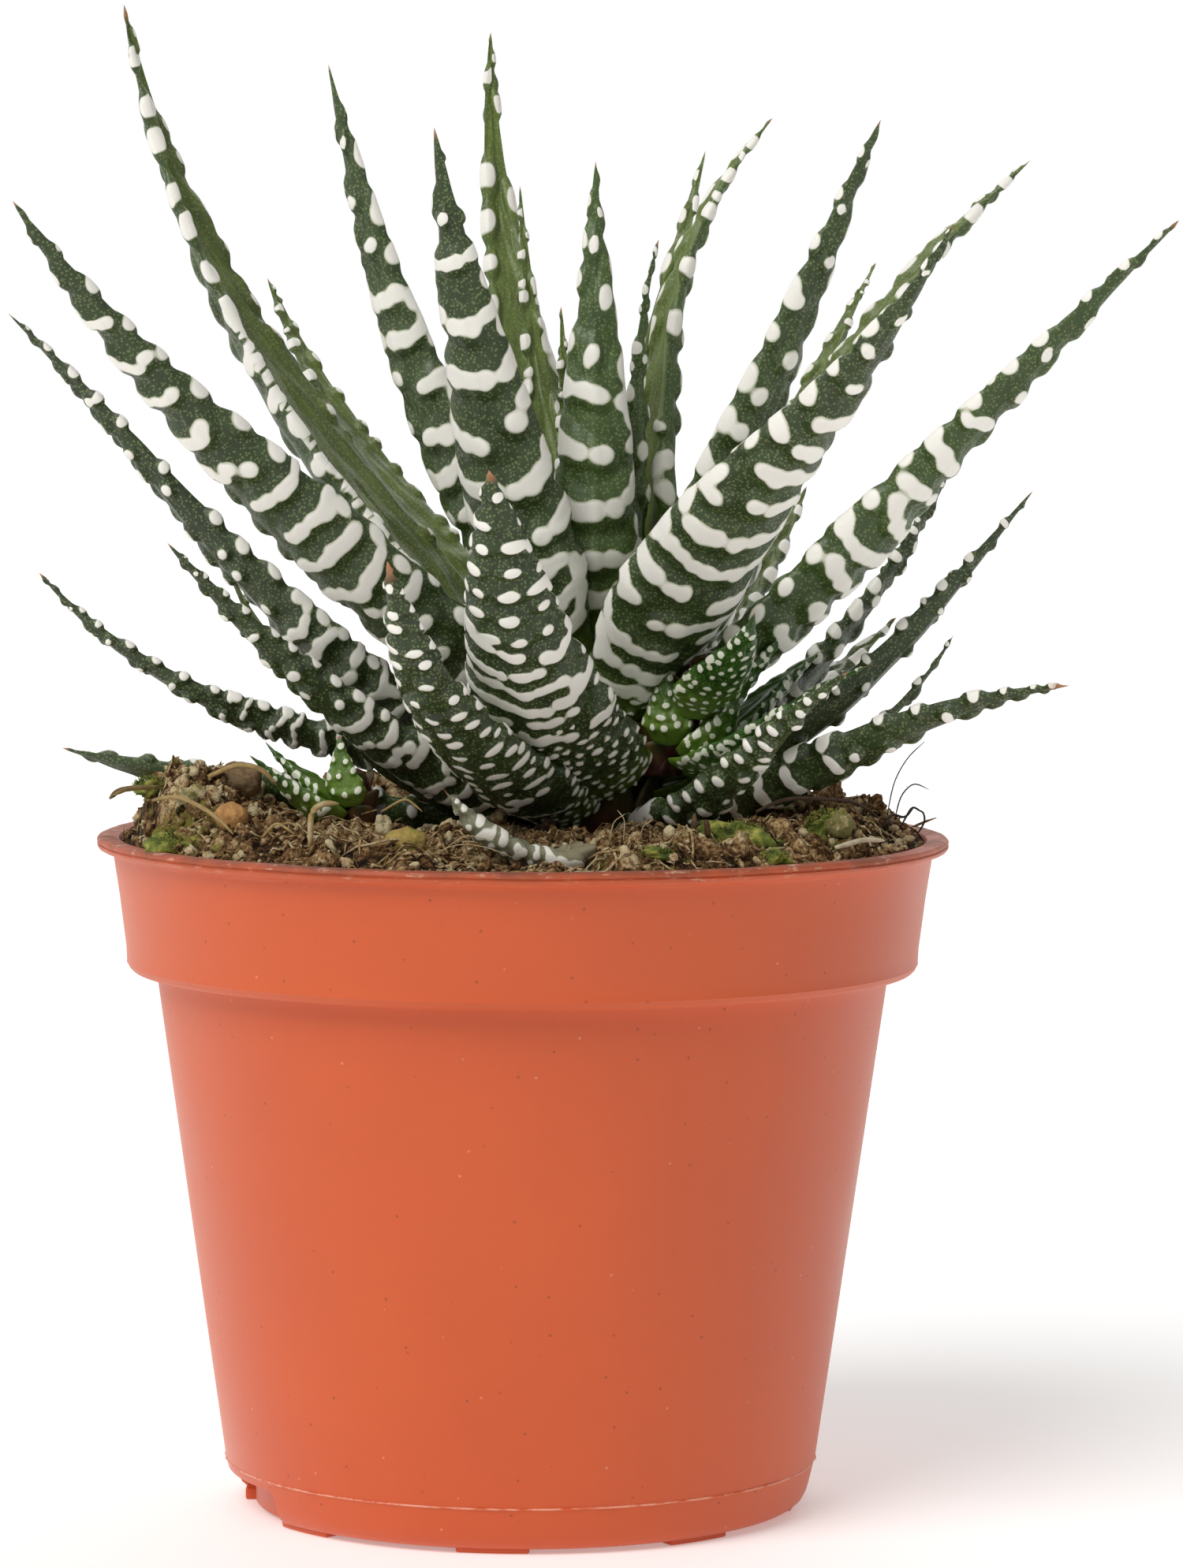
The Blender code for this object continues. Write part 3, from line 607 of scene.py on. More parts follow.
    # the last two values are for the tip and the middle of the foot
    addAttribute(piece, "wart", np.append(field.ravel(), [0, 0]))
    addAttribute(piece, "tipGap", np.append(((length - along) / max(coat["dry"], 0.1)).ravel(), [0, 9]))
    addAttribute(piece, "footGap", np.append(along.ravel(), [length, 0]))
    addAttribute(piece, "upper", np.append((upper[None, :] * np.ones((rows, 1))).ravel(), [0, 0]))
    addAttribute(piece, "tint", np.full(len(points), coat["tint"]))
    addAttribute(piece, "across", np.append(across.ravel(), [0, 0]))


# what differs from leaf to leaf
leafCoats = {
    "leaf_01": dict(full=0.0, gaps=0.0, cover=(0.42, 0.66), bead=1.1, thick=(0.7, 1.0, 1.05, 0.9), middle=1.3,
                    solid=0.72, broken=0.84, marginLong=1.3, slim=(0.55, 0.6, 0.66, 0.71, 0.78, 0.96)),
    "leaf_02": dict(full=0.1, sweep=2.0, bead=0.9, pitch=(2.6, 3.4, 3.6, 3.4), thick=(0.5, 0.75, 0.8, 0.6),
                    solid=0.35, broken=0.45, tint=0.05, marginLong=1.0, marginWide=0.6, middleSize=(0.8, 0.65)),
    "leaf_03": dict(solid=0.1, broken=0.15, tint=0.3, channel=0.2, dry=2.4, ridges=0.16, aboveChance=0.3,
                    roughEdge=(1, 0.22, 0.62), marginWide=0.75, middleSize=(1.4, 0.95), middle=0.95),
    "leaf_04": dict(solid=0.1, broken=0.2, tint=0.5, middle=0.1, marginLong=0.9),
    "leaf_05": dict(full=0.3, tint=0.25, solid=0.62, broken=0.7),
    "leaf_06": dict(full=0.75, gaps=0.25, tint=0.15, solid=0.74, broken=0.8, dry=1.6, thick=(0.9, 1.2, 1.35, 1.0),
                    pitch=(4.4, 5.3, 5.6, 5.0), marginChance=0.6, slim=(0.55, 0.6, 0.68, 0.79, 0.92, 1.0)),
    "leaf_07": dict(solid=0.1, broken=0.2, tint=0.75),
    "leaf_08": dict(solid=0.1, broken=0.2, tint=0.7, bead=0.7, marginLong=1.2, marginWide=0.5),
    "leaf_09": dict(solid=0.1, broken=0.2, tint=0.7, bead=0.6, marginLong=1.0, marginWide=0.45),
    "leaf_10": dict(full=0.7, gaps=0.3, tint=0.6, solid=0.56, broken=0.62, thick=(0.9, 1.3, 1.3, 1.0), middle=1.3,
                    pitch=(4.0, 5.0, 5.2, 4.6), middleSize=(1.45, 0.8), slim=(0.45, 0.55, 0.7, 0.84, 0.95, 1.0)),
    "leaf_11": dict(solid=0.1, broken=0.2, tint=0.55),
    "leaf_12": dict(solid=0.1, broken=0.2, tint=0.6, bead=0.7, marginLong=1.3, marginWide=0.5,
                    slim=(0.45, 0.5, 0.65, 0.8, 0.95)),
    "leaf_13": dict(solid=0.1, broken=0.2, tint=0.7, marginLong=1.6),
    "leaf_14": dict(tint=0.3, solid=0.42, broken=0.5, marginLong=1.7, full=0.3,
                    slim=(0.55, 0.58, 0.62, 0.68, 0.78, 0.95)),
    "leaf_15": dict(solid=0.2, broken=0.3, tint=0.7),
    "leaf_16": dict(full=0.55, gaps=0.4, cover=(0.5, 0.9), sweep=4.2, marginChance=0.5, solid=0.66, broken=0.72,
                    tint=0.15, footDots=6, pitch=(3.6, 5.2, 5.8, 4.8), thick=(0.9, 1.35, 1.4, 1.1)),
    "leaf_17": dict(solid=0.2, broken=0.3, tint=0.6, marginLong=0.9),
    "leaf_18": dict(tint=0.45, dry=1.4, full=0.05, gaps=0.0, solid=0.56, broken=0.66, cover=(0.36, 0.62), bead=1.05,
                    thick=(0.7, 1.0, 1.05, 0.9), marginLong=1.35, slim=(0.55, 0.6, 0.64, 0.68, 0.75, 0.95)),
    "leaf_19": dict(tint=0.05, aboveChance=0.95, aboveReach=1.5, bead=0.85, pitch=(2.6, 3.2, 3.4, 3.2),
                    thick=(0.5, 0.6, 0.6, 0.5), solid=0.3, broken=0.4, marginLong=0.9, marginWide=0.6,
                    middleSize=(0.9, 0.7), middle=1.1),
    "leaf_20": dict(tint=0.1, aboveChance=0.95, aboveReach=1.5, bead=0.7, solid=0.2, broken=0.3, marginLong=0.7,
                    marginWide=0.5, middleSize=(0.6, 0.5)),
    "leaf_21": dict(tint=0.1, bead=0.6, solid=0.2, broken=0.3, marginLong=0.9, marginWide=0.5),
    "leaf_22": dict(tint=0.1, thick=(0.55, 0.8, 0.8, 0.7), bead=1.0, solid=0.46, broken=0.5, full=0.9,
                    marginLong=0.95, marginWide=0.72, dry=2.6, pitch=(3.0, 3.8, 3.2, 2.8), middle=0.8,
                    middleSize=(0.75, 0.65), sweep=3.0),
    "leaf_23": dict(tint=0.1, ovals=(0.2, 0.97), ovalSize=(0.68, 0.62), ovalGap=2.5, pitch=(2.4, 2.3, 2.2, 2.0),
                    marginLong=0.6, marginWide=0.5, solid=0.3, broken=0.35, full=0.8, marginChance=0.3),
    "leaf_24": dict(tint=0.05, pitch=(1.9, 2.6, 2.7, 2.4), thick=(0.5, 0.85, 0.85, 0.8), bead=0.95, solid=0.8,
                    broken=0.95, gaps=0.35, full=0.15, cover=(0.4, 0.85), ovals=(0.64, 0.97), ovalSize=(1.1, 0.72),
                    ovalGap=3.1, sweep=2.6, first=19.0, footDots=20, dry=1.6, marginLong=0.75, marginWide=0.62,
                    slim=(0.6, 0.85, 1.0, 1.0, 1.0)),
    "leaf_25": dict(tint=0.05, pitch=(1.9, 2.3, 2.4, 2.1), thick=(0.45, 0.65, 0.65, 0.6), bead=0.85, solid=0.3,
                    broken=0.4, gaps=0.5, full=0.1, cover=(0.3, 0.75), ovals=(0.24, 0.97), ovalSize=(0.95, 0.6),
                    ovalGap=3.0, sweep=1.6, first=6.0, footDots=7, dry=2.6, marginLong=0.6, marginWide=0.6,
                    slim=(0.6, 0.85, 1.0, 1.0, 1.0)),
    "leaf_26": dict(tint=0.05, bead=0.8, pitch=(2.6, 3.0, 3.0, 3.0), thick=(0.5, 0.7, 0.6, 0.5), solid=0.45,
                    broken=0.55, full=0.4, marginLong=0.85, marginWide=0.55, middleSize=(0.7, 0.62), middle=1.1),
    "leaf_27": dict(tint=0.05, bead=0.5, pitch=(2.6, 2.8, 3.0, 3.2), thick=(0.4, 0.42, 0.42, 0.4), solid=0.55,
                    broken=0.65, full=0.9, gaps=0.4, sweep=0.6, marginLong=0.8, marginWide=0.5,
                    middleSize=(0.6, 0.5)),
    "leaf_28": dict(tint=0.1, bead=0.6, solid=0.1, broken=0.2, dry=5.0, marginLong=0.7, marginWide=0.5),
    "leaf_29": dict(tint=0.25, bead=0.5, solid=0.05, broken=0.1, marginLong=0.9, marginWide=0.6, middle=0.2,
                    slim=(1.3, 2.1, 2.3, 2.3, 2.0)),
    "leaf_30": dict(tint=0.1, bead=0.5, solid=0.1, broken=0.2, marginLong=0.8, marginWide=0.45, middle=0.3),
}

leafNames = [name for name in sorted(nodes) if name.startswith("leaf_")]
for nodeName in leafNames:
    coat = dict(coatBase, **leafCoats.get(nodeName, {}))
    growLeaf(nodeName, coat, leafStuff, 100 + int(nodeName[-2:]))
print("leaves grown:", len(leafNames))

pupCoat = dict(coatBase, rows=140, columnsBelow=36, columnsAbove=18, ovals=(0.0, 0.97), ovalSize=(0.42, 0.38),
               ovalGap=1.35, pitch=(1.15, 1.2, 1.25, 1.2), marginLong=0.5, marginWide=0.34, first=2.0, last=1.0,
               tint=0.4, wobble=0.05, slim=(0.7, 1.3, 1.4, 1.35, 1.3), dry=0.5)
pupCoat["raise"] = 0.25
for nodeName in sorted(nodes):
    if nodeName.startswith(("offset_leaf_", "young_leaf_")):
        growLeaf(nodeName, pupCoat, pupStuff, 300 + len(nodeName) * 10 + int(nodeName[-1]))

# the old leaf on the soil, wrinkled and crowded with ovals
witherCoat = dict(coatBase, rows=150, bead=0.6, pitch=(1.25, 1.3, 1.35, 1.4), thick=(0.5, 0.55, 0.5, 0.4), solid=0.6,
                  broken=0.9, ovals=(0.0, 0.97), ovalSize=(0.52, 0.4), ovalGap=1.5, first=1.5, tint=0.4, dry=1.4,
                  wobble=0.35, marginLong=0.6, marginWide=0.5, slim=(0.6, 0.9, 1, 1, 1), middleSize=(0.5, 0.5))
growLeaf("withered_leaf", witherCoat, witherStuff, 400)
print("offset leaves and withered leaf grown")


# 9 cm grower's pot, injection-moulded polypropylene coloured as terracotta
potShape = {
    "steps": 192,
    # radius and height of the outer wall, from the middle of the floor up, mm
    "outside": [(0.0, 0.8), (22.0, 0.8), (25.6, 0.75), (26.2, 0.45), (28.9, 0.42), (29.6, 0.6), (30.15, 1.05),
                (30.55, 1.8), (30.85, 2.8), (31.22, 4.5), (31.31, 4.88), (31.46, 4.97), (31.46, 5.05), (31.36, 5.12),
                (31.44, 5.4), (33.5, 19.8), (36.0, 37.5), (38.55, 55.6),
                (38.75, 56.6), (38.9, 56.95), (39.3, 57.08), (40.9, 57.1), (41.3, 57.2), (41.62, 57.5),
                (41.76, 57.85), (41.86, 57.95), (41.84, 58.1), (41.9, 59.5), (42.6, 65.0), (43.25, 69.2),
                (43.4, 69.55), (43.7, 69.75), (44.3, 69.8), (44.7, 69.95), (44.93, 70.25), (44.96, 70.42),
                (44.82, 70.5), (44.8, 70.6), (44.95, 70.68), (44.98, 70.85), (44.8, 71.1), (44.4, 71.22)],
    "inside": [(43.5, 71.22), (42.7, 71.05), (42.45, 70.6), (40.8, 58.4), (40.4, 58.0), (38.2, 58.0),
               (37.75, 57.5), (30.5, 2.4), (30.0, 2.0), (0.0, 2.0)],
    # pads under the foot, compass degrees and mm, 0 to the front
    "padFirst": -5, "padCount": 8, "padAngle": 15, "padRadii": (26.5, 29.3), "padTop": 1.3,
    "notches": (-76, 104), "notchAngle": 42, "notchTop": 4.1, "notchWall": 28.2,
    "drainCount": 4, "drainRadius": 3.0, "drainCircle": 18.0,
    "middleRadius": 6.0, "middleTall": 1.9,          # plain pad in the middle of the underside
    "rimFrom": (42.9, 69.6), "rimUneven": 0.07,      # the lip: radius and height from which it is uneven
    "seamHeight": 5.0, "seamUneven": 0.14,           # ragged moulding flash
    "smoothUpTo": 32,                                # edges sharper than this stay sharp, degrees
}


def lumpField(points, size, seed):
    # smooth random field between -1 and 1 with lumps of this size
    grid = np.asarray(points) / size
    cell = np.floor(grid).astype(np.int64)
    part = grid - cell
    part = part * part * (3 - 2 * part)
    total = np.zeros(len(grid))
    for corner in range(8):
        bits = np.array([corner & 1, corner >> 1 & 1, corner >> 2 & 1])
        key = (cell + bits) * np.array([374761393, 668265263, 2147483647])
        mixed = key.sum(axis=1) + seed * 974711
        mixed = ((mixed ^ (mixed >> 13)) * 1274126177) & 0xFFFFFFFF
        mixed = ((mixed ^ (mixed >> 16)) * 668265263) & 0xFFFFFFFF
        share = np.prod(np.where(bits == 1, part, 1 - part), axis=1)
        total += share * (mixed / 2147483647.5 - 1)
    return total


def spunRing(name, loop, steps, angle=360.0, start=0.0):
    # an outline of radii and heights spun about the upright axis; start and angle are compass degrees
    mesh = bpy.data.meshes.new(name)
    turn = math.radians(start)
    points = [(r * math.sin(turn) * mm, -r * math.cos(turn) * mm, z * mm) for r, z in loop]
    if angle == 360.0:
        mesh.from_pydata(points, [(k, k + 1) for k in range(len(points) - 1)], [])
    else:
        mesh.from_pydata(points, [], [tuple(range(len(points)))])
    piece = bpy.data.objects.new(name, mesh)
    bpy.context.scene.collection.objects.link(piece)
    pickOnly(piece)
    bpy.ops.object.mode_set(mode="EDIT")
    bpy.ops.mesh.select_all(action="SELECT")
    # turns from the front to the right
    bpy.ops.mesh.spin(steps=steps, angle=math.radians(angle), center=(0, 0, 0), axis=(0, 0, -1))
    bpy.ops.object.mode_set(mode="OBJECT")
    turnOutward(piece, 0.002)
    return piece


def useModifier(piece, kind, **settings):
    pickOnly(piece)
    step = piece.modifiers.new(kind.title(), kind)
    for name, value in settings.items():
        setattr(step, name, value)
    bpy.ops.object.modifier_apply(modifier=step.name)


def boolean(piece, tool, operation):
    useModifier(piece, "BOOLEAN", object=tool, operation=operation, solver="MANIFOLD")
    bpy.data.objects.remove(tool, do_unlink=True)


def sectorTool(name, loop, middle, angle, soften=0.0):
    # a closed outline spun over the sector round the middle; soften rounds its edges, mm
    tool = spunRing(name, loop, 16, angle, middle - angle / 2)
    if soften:
        useModifier(tool, "BEVEL", width=soften * mm, segments=3, limit_method="ANGLE", angle_limit=math.radians(50))
    return tool


shape = potShape
pot = spunRing("pot_body", shape["outside"] + shape["inside"], shape["steps"])
rimRadius, rimHeight = shape["rimFrom"]
for vertex in pot.data.vertices:
    r, z = math.hypot(vertex.co.x, vertex.co.y) / mm, vertex.co.z / mm
    away = 1.0
    if z > rimHeight and r > rimRadius:
        wave = noise.noise(vertex.co * 140) + 0.6 * noise.noise(vertex.co * 520)
        vertex.co.z += shape["rimUneven"] * wave * mm
        away += shape["rimUneven"] * noise.noise(vertex.co * 300 + Vector((3, 1, 7))) / r
    if abs(z - shape["seamHeight"]) < 0.06 and r > 31:
        away += shape["seamUneven"] * noise.noise(vertex.co * 700) / r
    vertex.co.x *= away
    vertex.co.y *= away
# behind each notch the wall is carried in by a pocket, which the notch is then cut from
notchWall, notchTop = shape["notchWall"], shape["notchTop"]
pocket = [(notchWall - 1, 1.35), (29.9, 1.35), (30.75, notchTop + 1), (notchWall - 1, notchTop + 1)]
notch = [(notchWall, -3), (46, -3), (46, notchTop), (notchWall, notchTop)]
for direction in shape["notches"]:
    boolean(pot, sectorTool("pocketTool", pocket, direction, shape["notchAngle"] + 4), "UNION")
for direction in shape["notches"]:
    boolean(pot, sectorTool("notchTool", notch, direction, shape["notchAngle"], 1.1), "DIFFERENCE")
(padIn, padOut), padTop = shape["padRadii"], shape["padTop"]
for k in range(shape["padCount"]):
    direction = shape["padFirst"] + 360 * k / shape["padCount"]
    boolean(pot, sectorTool("padTool", [(padIn, 0), (padOut, 0), (padOut, padTop), (padIn, padTop)], direction,
                            shape["padAngle"], 0.25), "UNION")
for k in range(shape["drainCount"]):
    angle = math.radians(45 + 360 / shape["drainCount"] * k)
    bpy.ops.mesh.primitive_cylinder_add(vertices=48, radius=shape["drainRadius"] * mm, depth=8 * mm, location=(
        shape["drainCircle"] * mm * math.cos(angle), shape["drainCircle"] * mm * math.sin(angle), 1.5 * mm))
    boolean(pot, bpy.context.object, "DIFFERENCE")
bpy.ops.mesh.primitive_cylinder_add(vertices=64, radius=shape["middleRadius"] * mm, depth=shape["middleTall"] * mm,
                                    location=(0, 0, shape["middleTall"] / 2 * mm))
padMiddle = bpy.context.object
useModifier(padMiddle, "BEVEL", width=0.3 * mm, segments=3)
boolean(pot, padMiddle, "UNION")
pickOnly(pot)
bpy.ops.object.shade_smooth_by_angle(angle=math.radians(shape["smoothUpTo"]))

potStuff, tree, shader, place = newMaterial("mouldedPolypropyleneTerracotta", {
    # semi-matt polypropylene: IOR 1.49, satin from a fine mould texture, a little dust
    "Roughness": 0.42, "IOR": 1.49, "Sheen Weight": 0.2, "Sheen Roughness": 0.45,
    "Sheen Tint": linear("#FFD9CC"), "Subsurface Weight": 0.04, "Subsurface Radius": (1.0, 0.3, 0.15),
    "Subsurface Scale": 0.001})
cloud = addNode(tree, "ShaderNodeTexNoise", values={"Scale": 45.0, "Detail": 4.0}, links={"Vector": place})
body = addNode(tree, "ShaderNodeValToRGB", links={"Fac": cloud.outputs["Fac"]},
               ramp=[(0.3, "#CA5322"), (0.7, "#D15926")])
# pits and grit in the plastic: dark specks 0.25 mm, sparse
grit = addNode(tree, "ShaderNodeTexVoronoi", values={"Scale": 420.0, "Randomness": 1.0}, links={"Vector": place})
gritSpot = addNode(tree, "ShaderNodeMapRange", softStep,
                   {"From Min": 0.085, "From Max": 0.045, "To Max": 0.62}, {"Value": grit.outputs["Distance"]})
gritted = addNode(tree, "ShaderNodeMix", colourMix, {7: linear("#7E3A22")},
                  {0: gritSpot.outputs["Result"], 6: body.outputs["Color"]})
# pale dust specks
dust = addNode(tree, "ShaderNodeTexVoronoi", values={"Scale": 300.0, "Randomness": 1.0},
               links={"Vector": addNode(tree, "ShaderNodeVectorMath", {"operation": "ADD"}, {1: (0.31, 0.17, 0.05)},
                                        {0: place}).outputs[0]})
dustSpot = addNode(tree, "ShaderNodeMapRange", softStep,
                   {"From Min": 0.06, "From Max": 0.03, "To Max": 0.26}, {"Value": dust.outputs["Distance"]})
dusted = addNode(tree, "ShaderNodeMix", colourMix, {7: linear("#E8C4AE")},
                 {0: dustSpot.outputs["Result"], 6: gritted.outputs[2]})
# scuffs and limescale along the lip
height = addNode(tree, "ShaderNodeSeparateXYZ", links={0: place}).outputs["Z"]
lipShare = addNode(tree, "ShaderNodeMapRange", values={"From Min": 0.0698, "From Max": 0.0712}, links={"Value": height})
# the same noise also breaks up the painted highlight on the flash line
scuffAndGlintNoise = addNode(tree, "ShaderNodeTexNoise", values={"Scale": 1100.0, "Detail": 4.0, "Roughness": 0.7},
                links={"Vector": addNode(tree, "ShaderNodeMapping", values={"Scale": (0.45, 0.45, 1.6)},
                                         links={"Vector": place}).outputs[0]})
scuffSpot = addNode(tree, "ShaderNodeMapRange", softStep,
                    {"From Min": 0.55, "From Max": 0.68, "To Max": 0.75}, {"Value": scuffAndGlintNoise.outputs["Fac"]})
# the lip darker brown towards its top, in noisy patches
lipDarkNoise = addNode(tree, "ShaderNodeTexNoise", values={"Scale": 260.0, "Detail": 4.0}, links={"Vector": place})
lipDarkSpot = addNode(tree, "ShaderNodeMapRange",
                    values={"From Min": 0.3, "From Max": 0.65, "To Min": 0.35, "To Max": 0.95},
                    links={"Value": lipDarkNoise.outputs["Fac"]})
lipDarkShare = addNode(tree, "ShaderNodeMath", {"operation": "MULTIPLY"},
                   links={0: lipShare.outputs["Result"], 1: lipDarkSpot.outputs["Result"]})
lipDarkened = addNode(tree, "ShaderNodeMix", colourMix, {7: linear("#703A22")},
                 {0: lipDarkShare.outputs[0], 6: dusted.outputs[2]})
lipScuff = addNode(tree, "ShaderNodeMath", {"operation": "MULTIPLY"},
                   links={0: lipShare.outputs["Result"], 1: scuffSpot.outputs["Result"]})
scuffed = addNode(tree, "ShaderNodeMix", colourMix, {7: linear("#E3B79A")},
                  {0: lipScuff.outputs[0], 6: lipDarkened.outputs[2]})
# painted highlight: a pale line along the torn flash line, broken up by the scuff noise, stands in for the light it
# catches
flash = addNode(tree, "ShaderNodeMath", {"operation": "COMPARE"}, {1: 0.00501, 2: 0.00011}, {0: height})
flashHighlightBreakup = addNode(tree, "ShaderNodeMapRange", values={"From Min": 0.42, "From Max": 0.56, "To Max": 0.7},
                    links={"Value": scuffAndGlintNoise.outputs["Fac"]})
flashHighlightShare = addNode(tree, "ShaderNodeMath", {"operation": "MULTIPLY"},
                     links={0: flash.outputs[0], 1: flashHighlightBreakup.outputs["Result"]})
flashHighlighted = addNode(tree, "ShaderNodeMix", colourMix, {7: linear("#F0B59A")},
                  {0: flashHighlightShare.outputs[0], 6: scuffed.outputs[2]})
mould = addNode(tree, "ShaderNodeTexNoise", values={"Scale": 3200.0, "Detail": 2.0}, links={"Vector": place})
pitted = addNode(tree, "ShaderNodeMath", {"operation": "SUBTRACT"},
                 links={0: mould.outputs["Fac"], 1: gritSpot.outputs["Result"]})
finishSurface(tree, shader, flashHighlighted.outputs[2], pitted.outputs[0], 0.12, 0.1)
satin = addNode(tree, "ShaderNodeMapRange", values={"From Min": 0.3, "From Max": 0.7, "To Min": 0.36, "To Max": 0.5},
                links={"Value": cloud.outputs["Fac"]})
lipSatin = addNode(tree, "ShaderNodeMath", {"operation": "MULTIPLY_ADD", "use_clamp": True}, {1: 0.3},
                   {0: lipDarkShare.outputs[0], 2: satin.outputs["Result"]})
tree.links.new(lipSatin.outputs[0], shader.inputs["Roughness"])
dress(pot, potStuff, replaces="pot")
print("pot made:", len(pot.data.polygons), "faces")


# peat and coir potting mix with clay granules, algae and moss on top
soilLook = {
    "cells": 190, "radius": 42.2, "lipTop": 71.4, "raised": 0.7, "deep": 8,
    "lumps": ((6.0, 0.9), (2.8, 1.2), (1.3, 0.8), (0.6, 0.4)),  # size and height, mm
    "heapAt": (-37.5, -9.0), "heapSize": (5.0, 8.5), "heapTall": 3.2,  # the left heap
    "bedAt": (-3.0, -34.0), "bedSize": (9.0, 6.0), "bedDeep": 0.9,     # hollow that the withered leaf lies in
    # tone along the ramp: wet peat to dry clay; on the soil surface its dark end also stands for painted shade in the
    # hollows and the gaps between crumbs
    "ramp": [(0.0, "#140D07"), (0.2, "#33210F"), (0.4, "#65482B"), (0.58, "#8F6E49"), (0.76, "#BA9A6C"),
             (1.0, "#DECCA2")],
    "mossDark": "#3F491B", "mossPale": "#A29A4B",
}


def surfaceOf(piece):
    mesh = piece.data
    mesh.calc_loop_triangles()
    return BVHTree.FromPolygons([v.co[:] for v in mesh.vertices], [tuple(t.vertices) for t in mesh.loop_triangles])


def topAt(surface, x, y):
    # height of a surface seen from above, mm
    hit = surface.ray_cast(Vector((x * mm, y * mm, 0.2)), Vector((0, 0, -1)))
    return hit[0].z / mm if hit[0] else 70.0


soilStuff, tree, shader, place = newMaterial("peatAndCoirMix", {
    # open crumbly fibre, nearly no gloss
    "Roughness": 0.92, "IOR": 1.4, "Specular IOR Level": 0.25})
tone = addNode(tree, "ShaderNodeAttribute", {"attribute_name": "tone"}).outputs["Fac"]
green = addNode(tree, "ShaderNodeAttribute", {"attribute_name": "green"}).outputs["Fac"]
speck = addNode(tree, "ShaderNodeTexNoise", values={"Scale": 1500.0, "Detail": 5.0, "Roughness": 0.7},
                links={"Vector": place})
spread = addNode(tree, "ShaderNodeMapRange",
                 values={"From Min": 0.25, "From Max": 0.75, "To Min": -0.46, "To Max": 0.62},
                 links={"Value": speck.outputs["Fac"]})
toned = addNode(tree, "ShaderNodeMath", {"operation": "ADD", "use_clamp": True},
                links={0: tone, 1: spread.outputs["Result"]})
peat = addNode(tree, "ShaderNodeValToRGB", links={"Fac": toned.outputs[0]}, ramp=soilLook["ramp"])
algae = addNode(tree, "ShaderNodeTexNoise", values={"Scale": 800.0, "Detail": 4.0, "Roughness": 0.65},
                links={"Vector": place})
mossTone = addNode(tree, "ShaderNodeMix", colourMix,
                   {6: linear(soilLook["mossDark"]), 7: linear(soilLook["mossPale"])}, {0: algae.outputs["Fac"]})
mossEdge = addNode(tree, "ShaderNodeMath", {"operation": "ADD"}, {1: -0.5}, {0: algae.outputs["Fac"]})
mossSum = addNode(tree, "ShaderNodeMath", {"operation": "MULTIPLY_ADD"}, {1: 2.2}, {0: mossEdge.outputs[0], 2: green})
mossShare = addNode(tree, "ShaderNodeMapRange", softStep,
                    {"From Min": 0.45, "From Max": 0.8, "To Max": 0.85}, {"Value": mossSum.outputs[0]})
mossed = addNode(tree, "ShaderNodeMix", colourMix,
                 links={0: mossShare.outputs["Result"], 6: peat.outputs["Color"], 7: mossTone.outputs[2]})
finishSurface(tree, shader, mossed.outputs[2], speck.outputs["Fac"], 1.0, 0.6)

# moss and algae: x, y, radius and strength, mm
mossSpots = [(22.0, -27.0, 4.5, 1.0), (27.0, -33.5, 2.4, 1.0), (31.0, -20.0, 4.0, 0.8), (-35.0, -21.0, 5.0, 0.8),
             (-31.0, -27.0, 4.0, 0.6), (9.0, -37.0, 4.0, 0.55), (-13.0, -38.0, 3.0, 0.45), (14.0, -35.5, 4.0, 0.6),
             (-38.0, -10.0, 4.0, 0.6), (35.0, -8.0, 4.0, 0.5), (-20.0, 30.0, 5.0, 0.6), (20.0, 32.0, 6.0, 0.5),
             (38.0, 12.0, 4.0, 0.4), (-37.0, 12.0, 5.0, 0.5)]


def greenAt(x, y):
    total = np.zeros(np.shape(x))
    for mx, my, radius, strength in mossSpots:
        total = np.maximum(total, strength * np.exp(-((x - mx) ** 2 + (y - my) ** 2) / radius ** 2))
    return total


cadSoil = surfaceOf(nodes["soil"])
cells = soilLook["cells"]
bpy.ops.object.select_all(action="DESELECT")
bpy.ops.mesh.primitive_grid_add(x_subdivisions=cells, y_subdivisions=cells, size=2, location=(0, 0, 0))
soil = bpy.context.object
soil.name = "soil_surface"
# the square grid is drawn in to a disc
a, b, _ = pointsOf(soil).T
x = a * np.sqrt(1 - b * b / 2) * soilLook["radius"]
y = b * np.sqrt(1 - a * a / 2) * soilLook["radius"]
away = np.hypot(x, y)
z = np.array([topAt(cadSoil, px * 0.985, py * 0.985) for px, py in zip(x, y)])
flatPoints = np.stack([x, y, np.zeros(len(x))], axis=1)
rough = np.zeros(len(x))
for seed, (size, tall) in enumerate(soilLook["lumps"]):
    wave = lumpField(flatPoints, size, seed + 11)
    rough += tall * (np.abs(wave) * 1.4 - 0.35 if seed in (1, 2) else wave)  # the middle sizes are creased
calm = np.clip((soilLook["radius"] - away) / 3.0, 0, 1)
(heapX, heapY), (heapWide, heapLong) = soilLook["heapAt"], soilLook["heapSize"]
(bedX, bedY), (bedWide, bedLong) = soilLook["bedAt"], soilLook["bedSize"]
heap = np.exp(-((x - heapX) / heapWide) ** 2 - ((y - heapY) / heapLong) ** 2)
bed = np.exp(-(((x - bedX) / bedWide) ** 2 + ((y - bedY) / bedLong) ** 2) ** 2)
z = (z + soilLook["raised"] + soilLook["heapTall"] * heap - soilLook["bedDeep"] * bed
     + rough * (0.35 + 0.65 * calm) * (1 - 0.5 * bed))
z = np.where(away > soilLook["radius"] - 1.5, np.minimum(z, soilLook["lipTop"]), z)
soil.data.vertices.foreach_set("co", (np.stack([x, y, z], axis=1) * mm).astype(np.float32).ravel())
soil.data.update()
pickOnly(soil)
bpy.ops.object.mode_set(mode="EDIT")
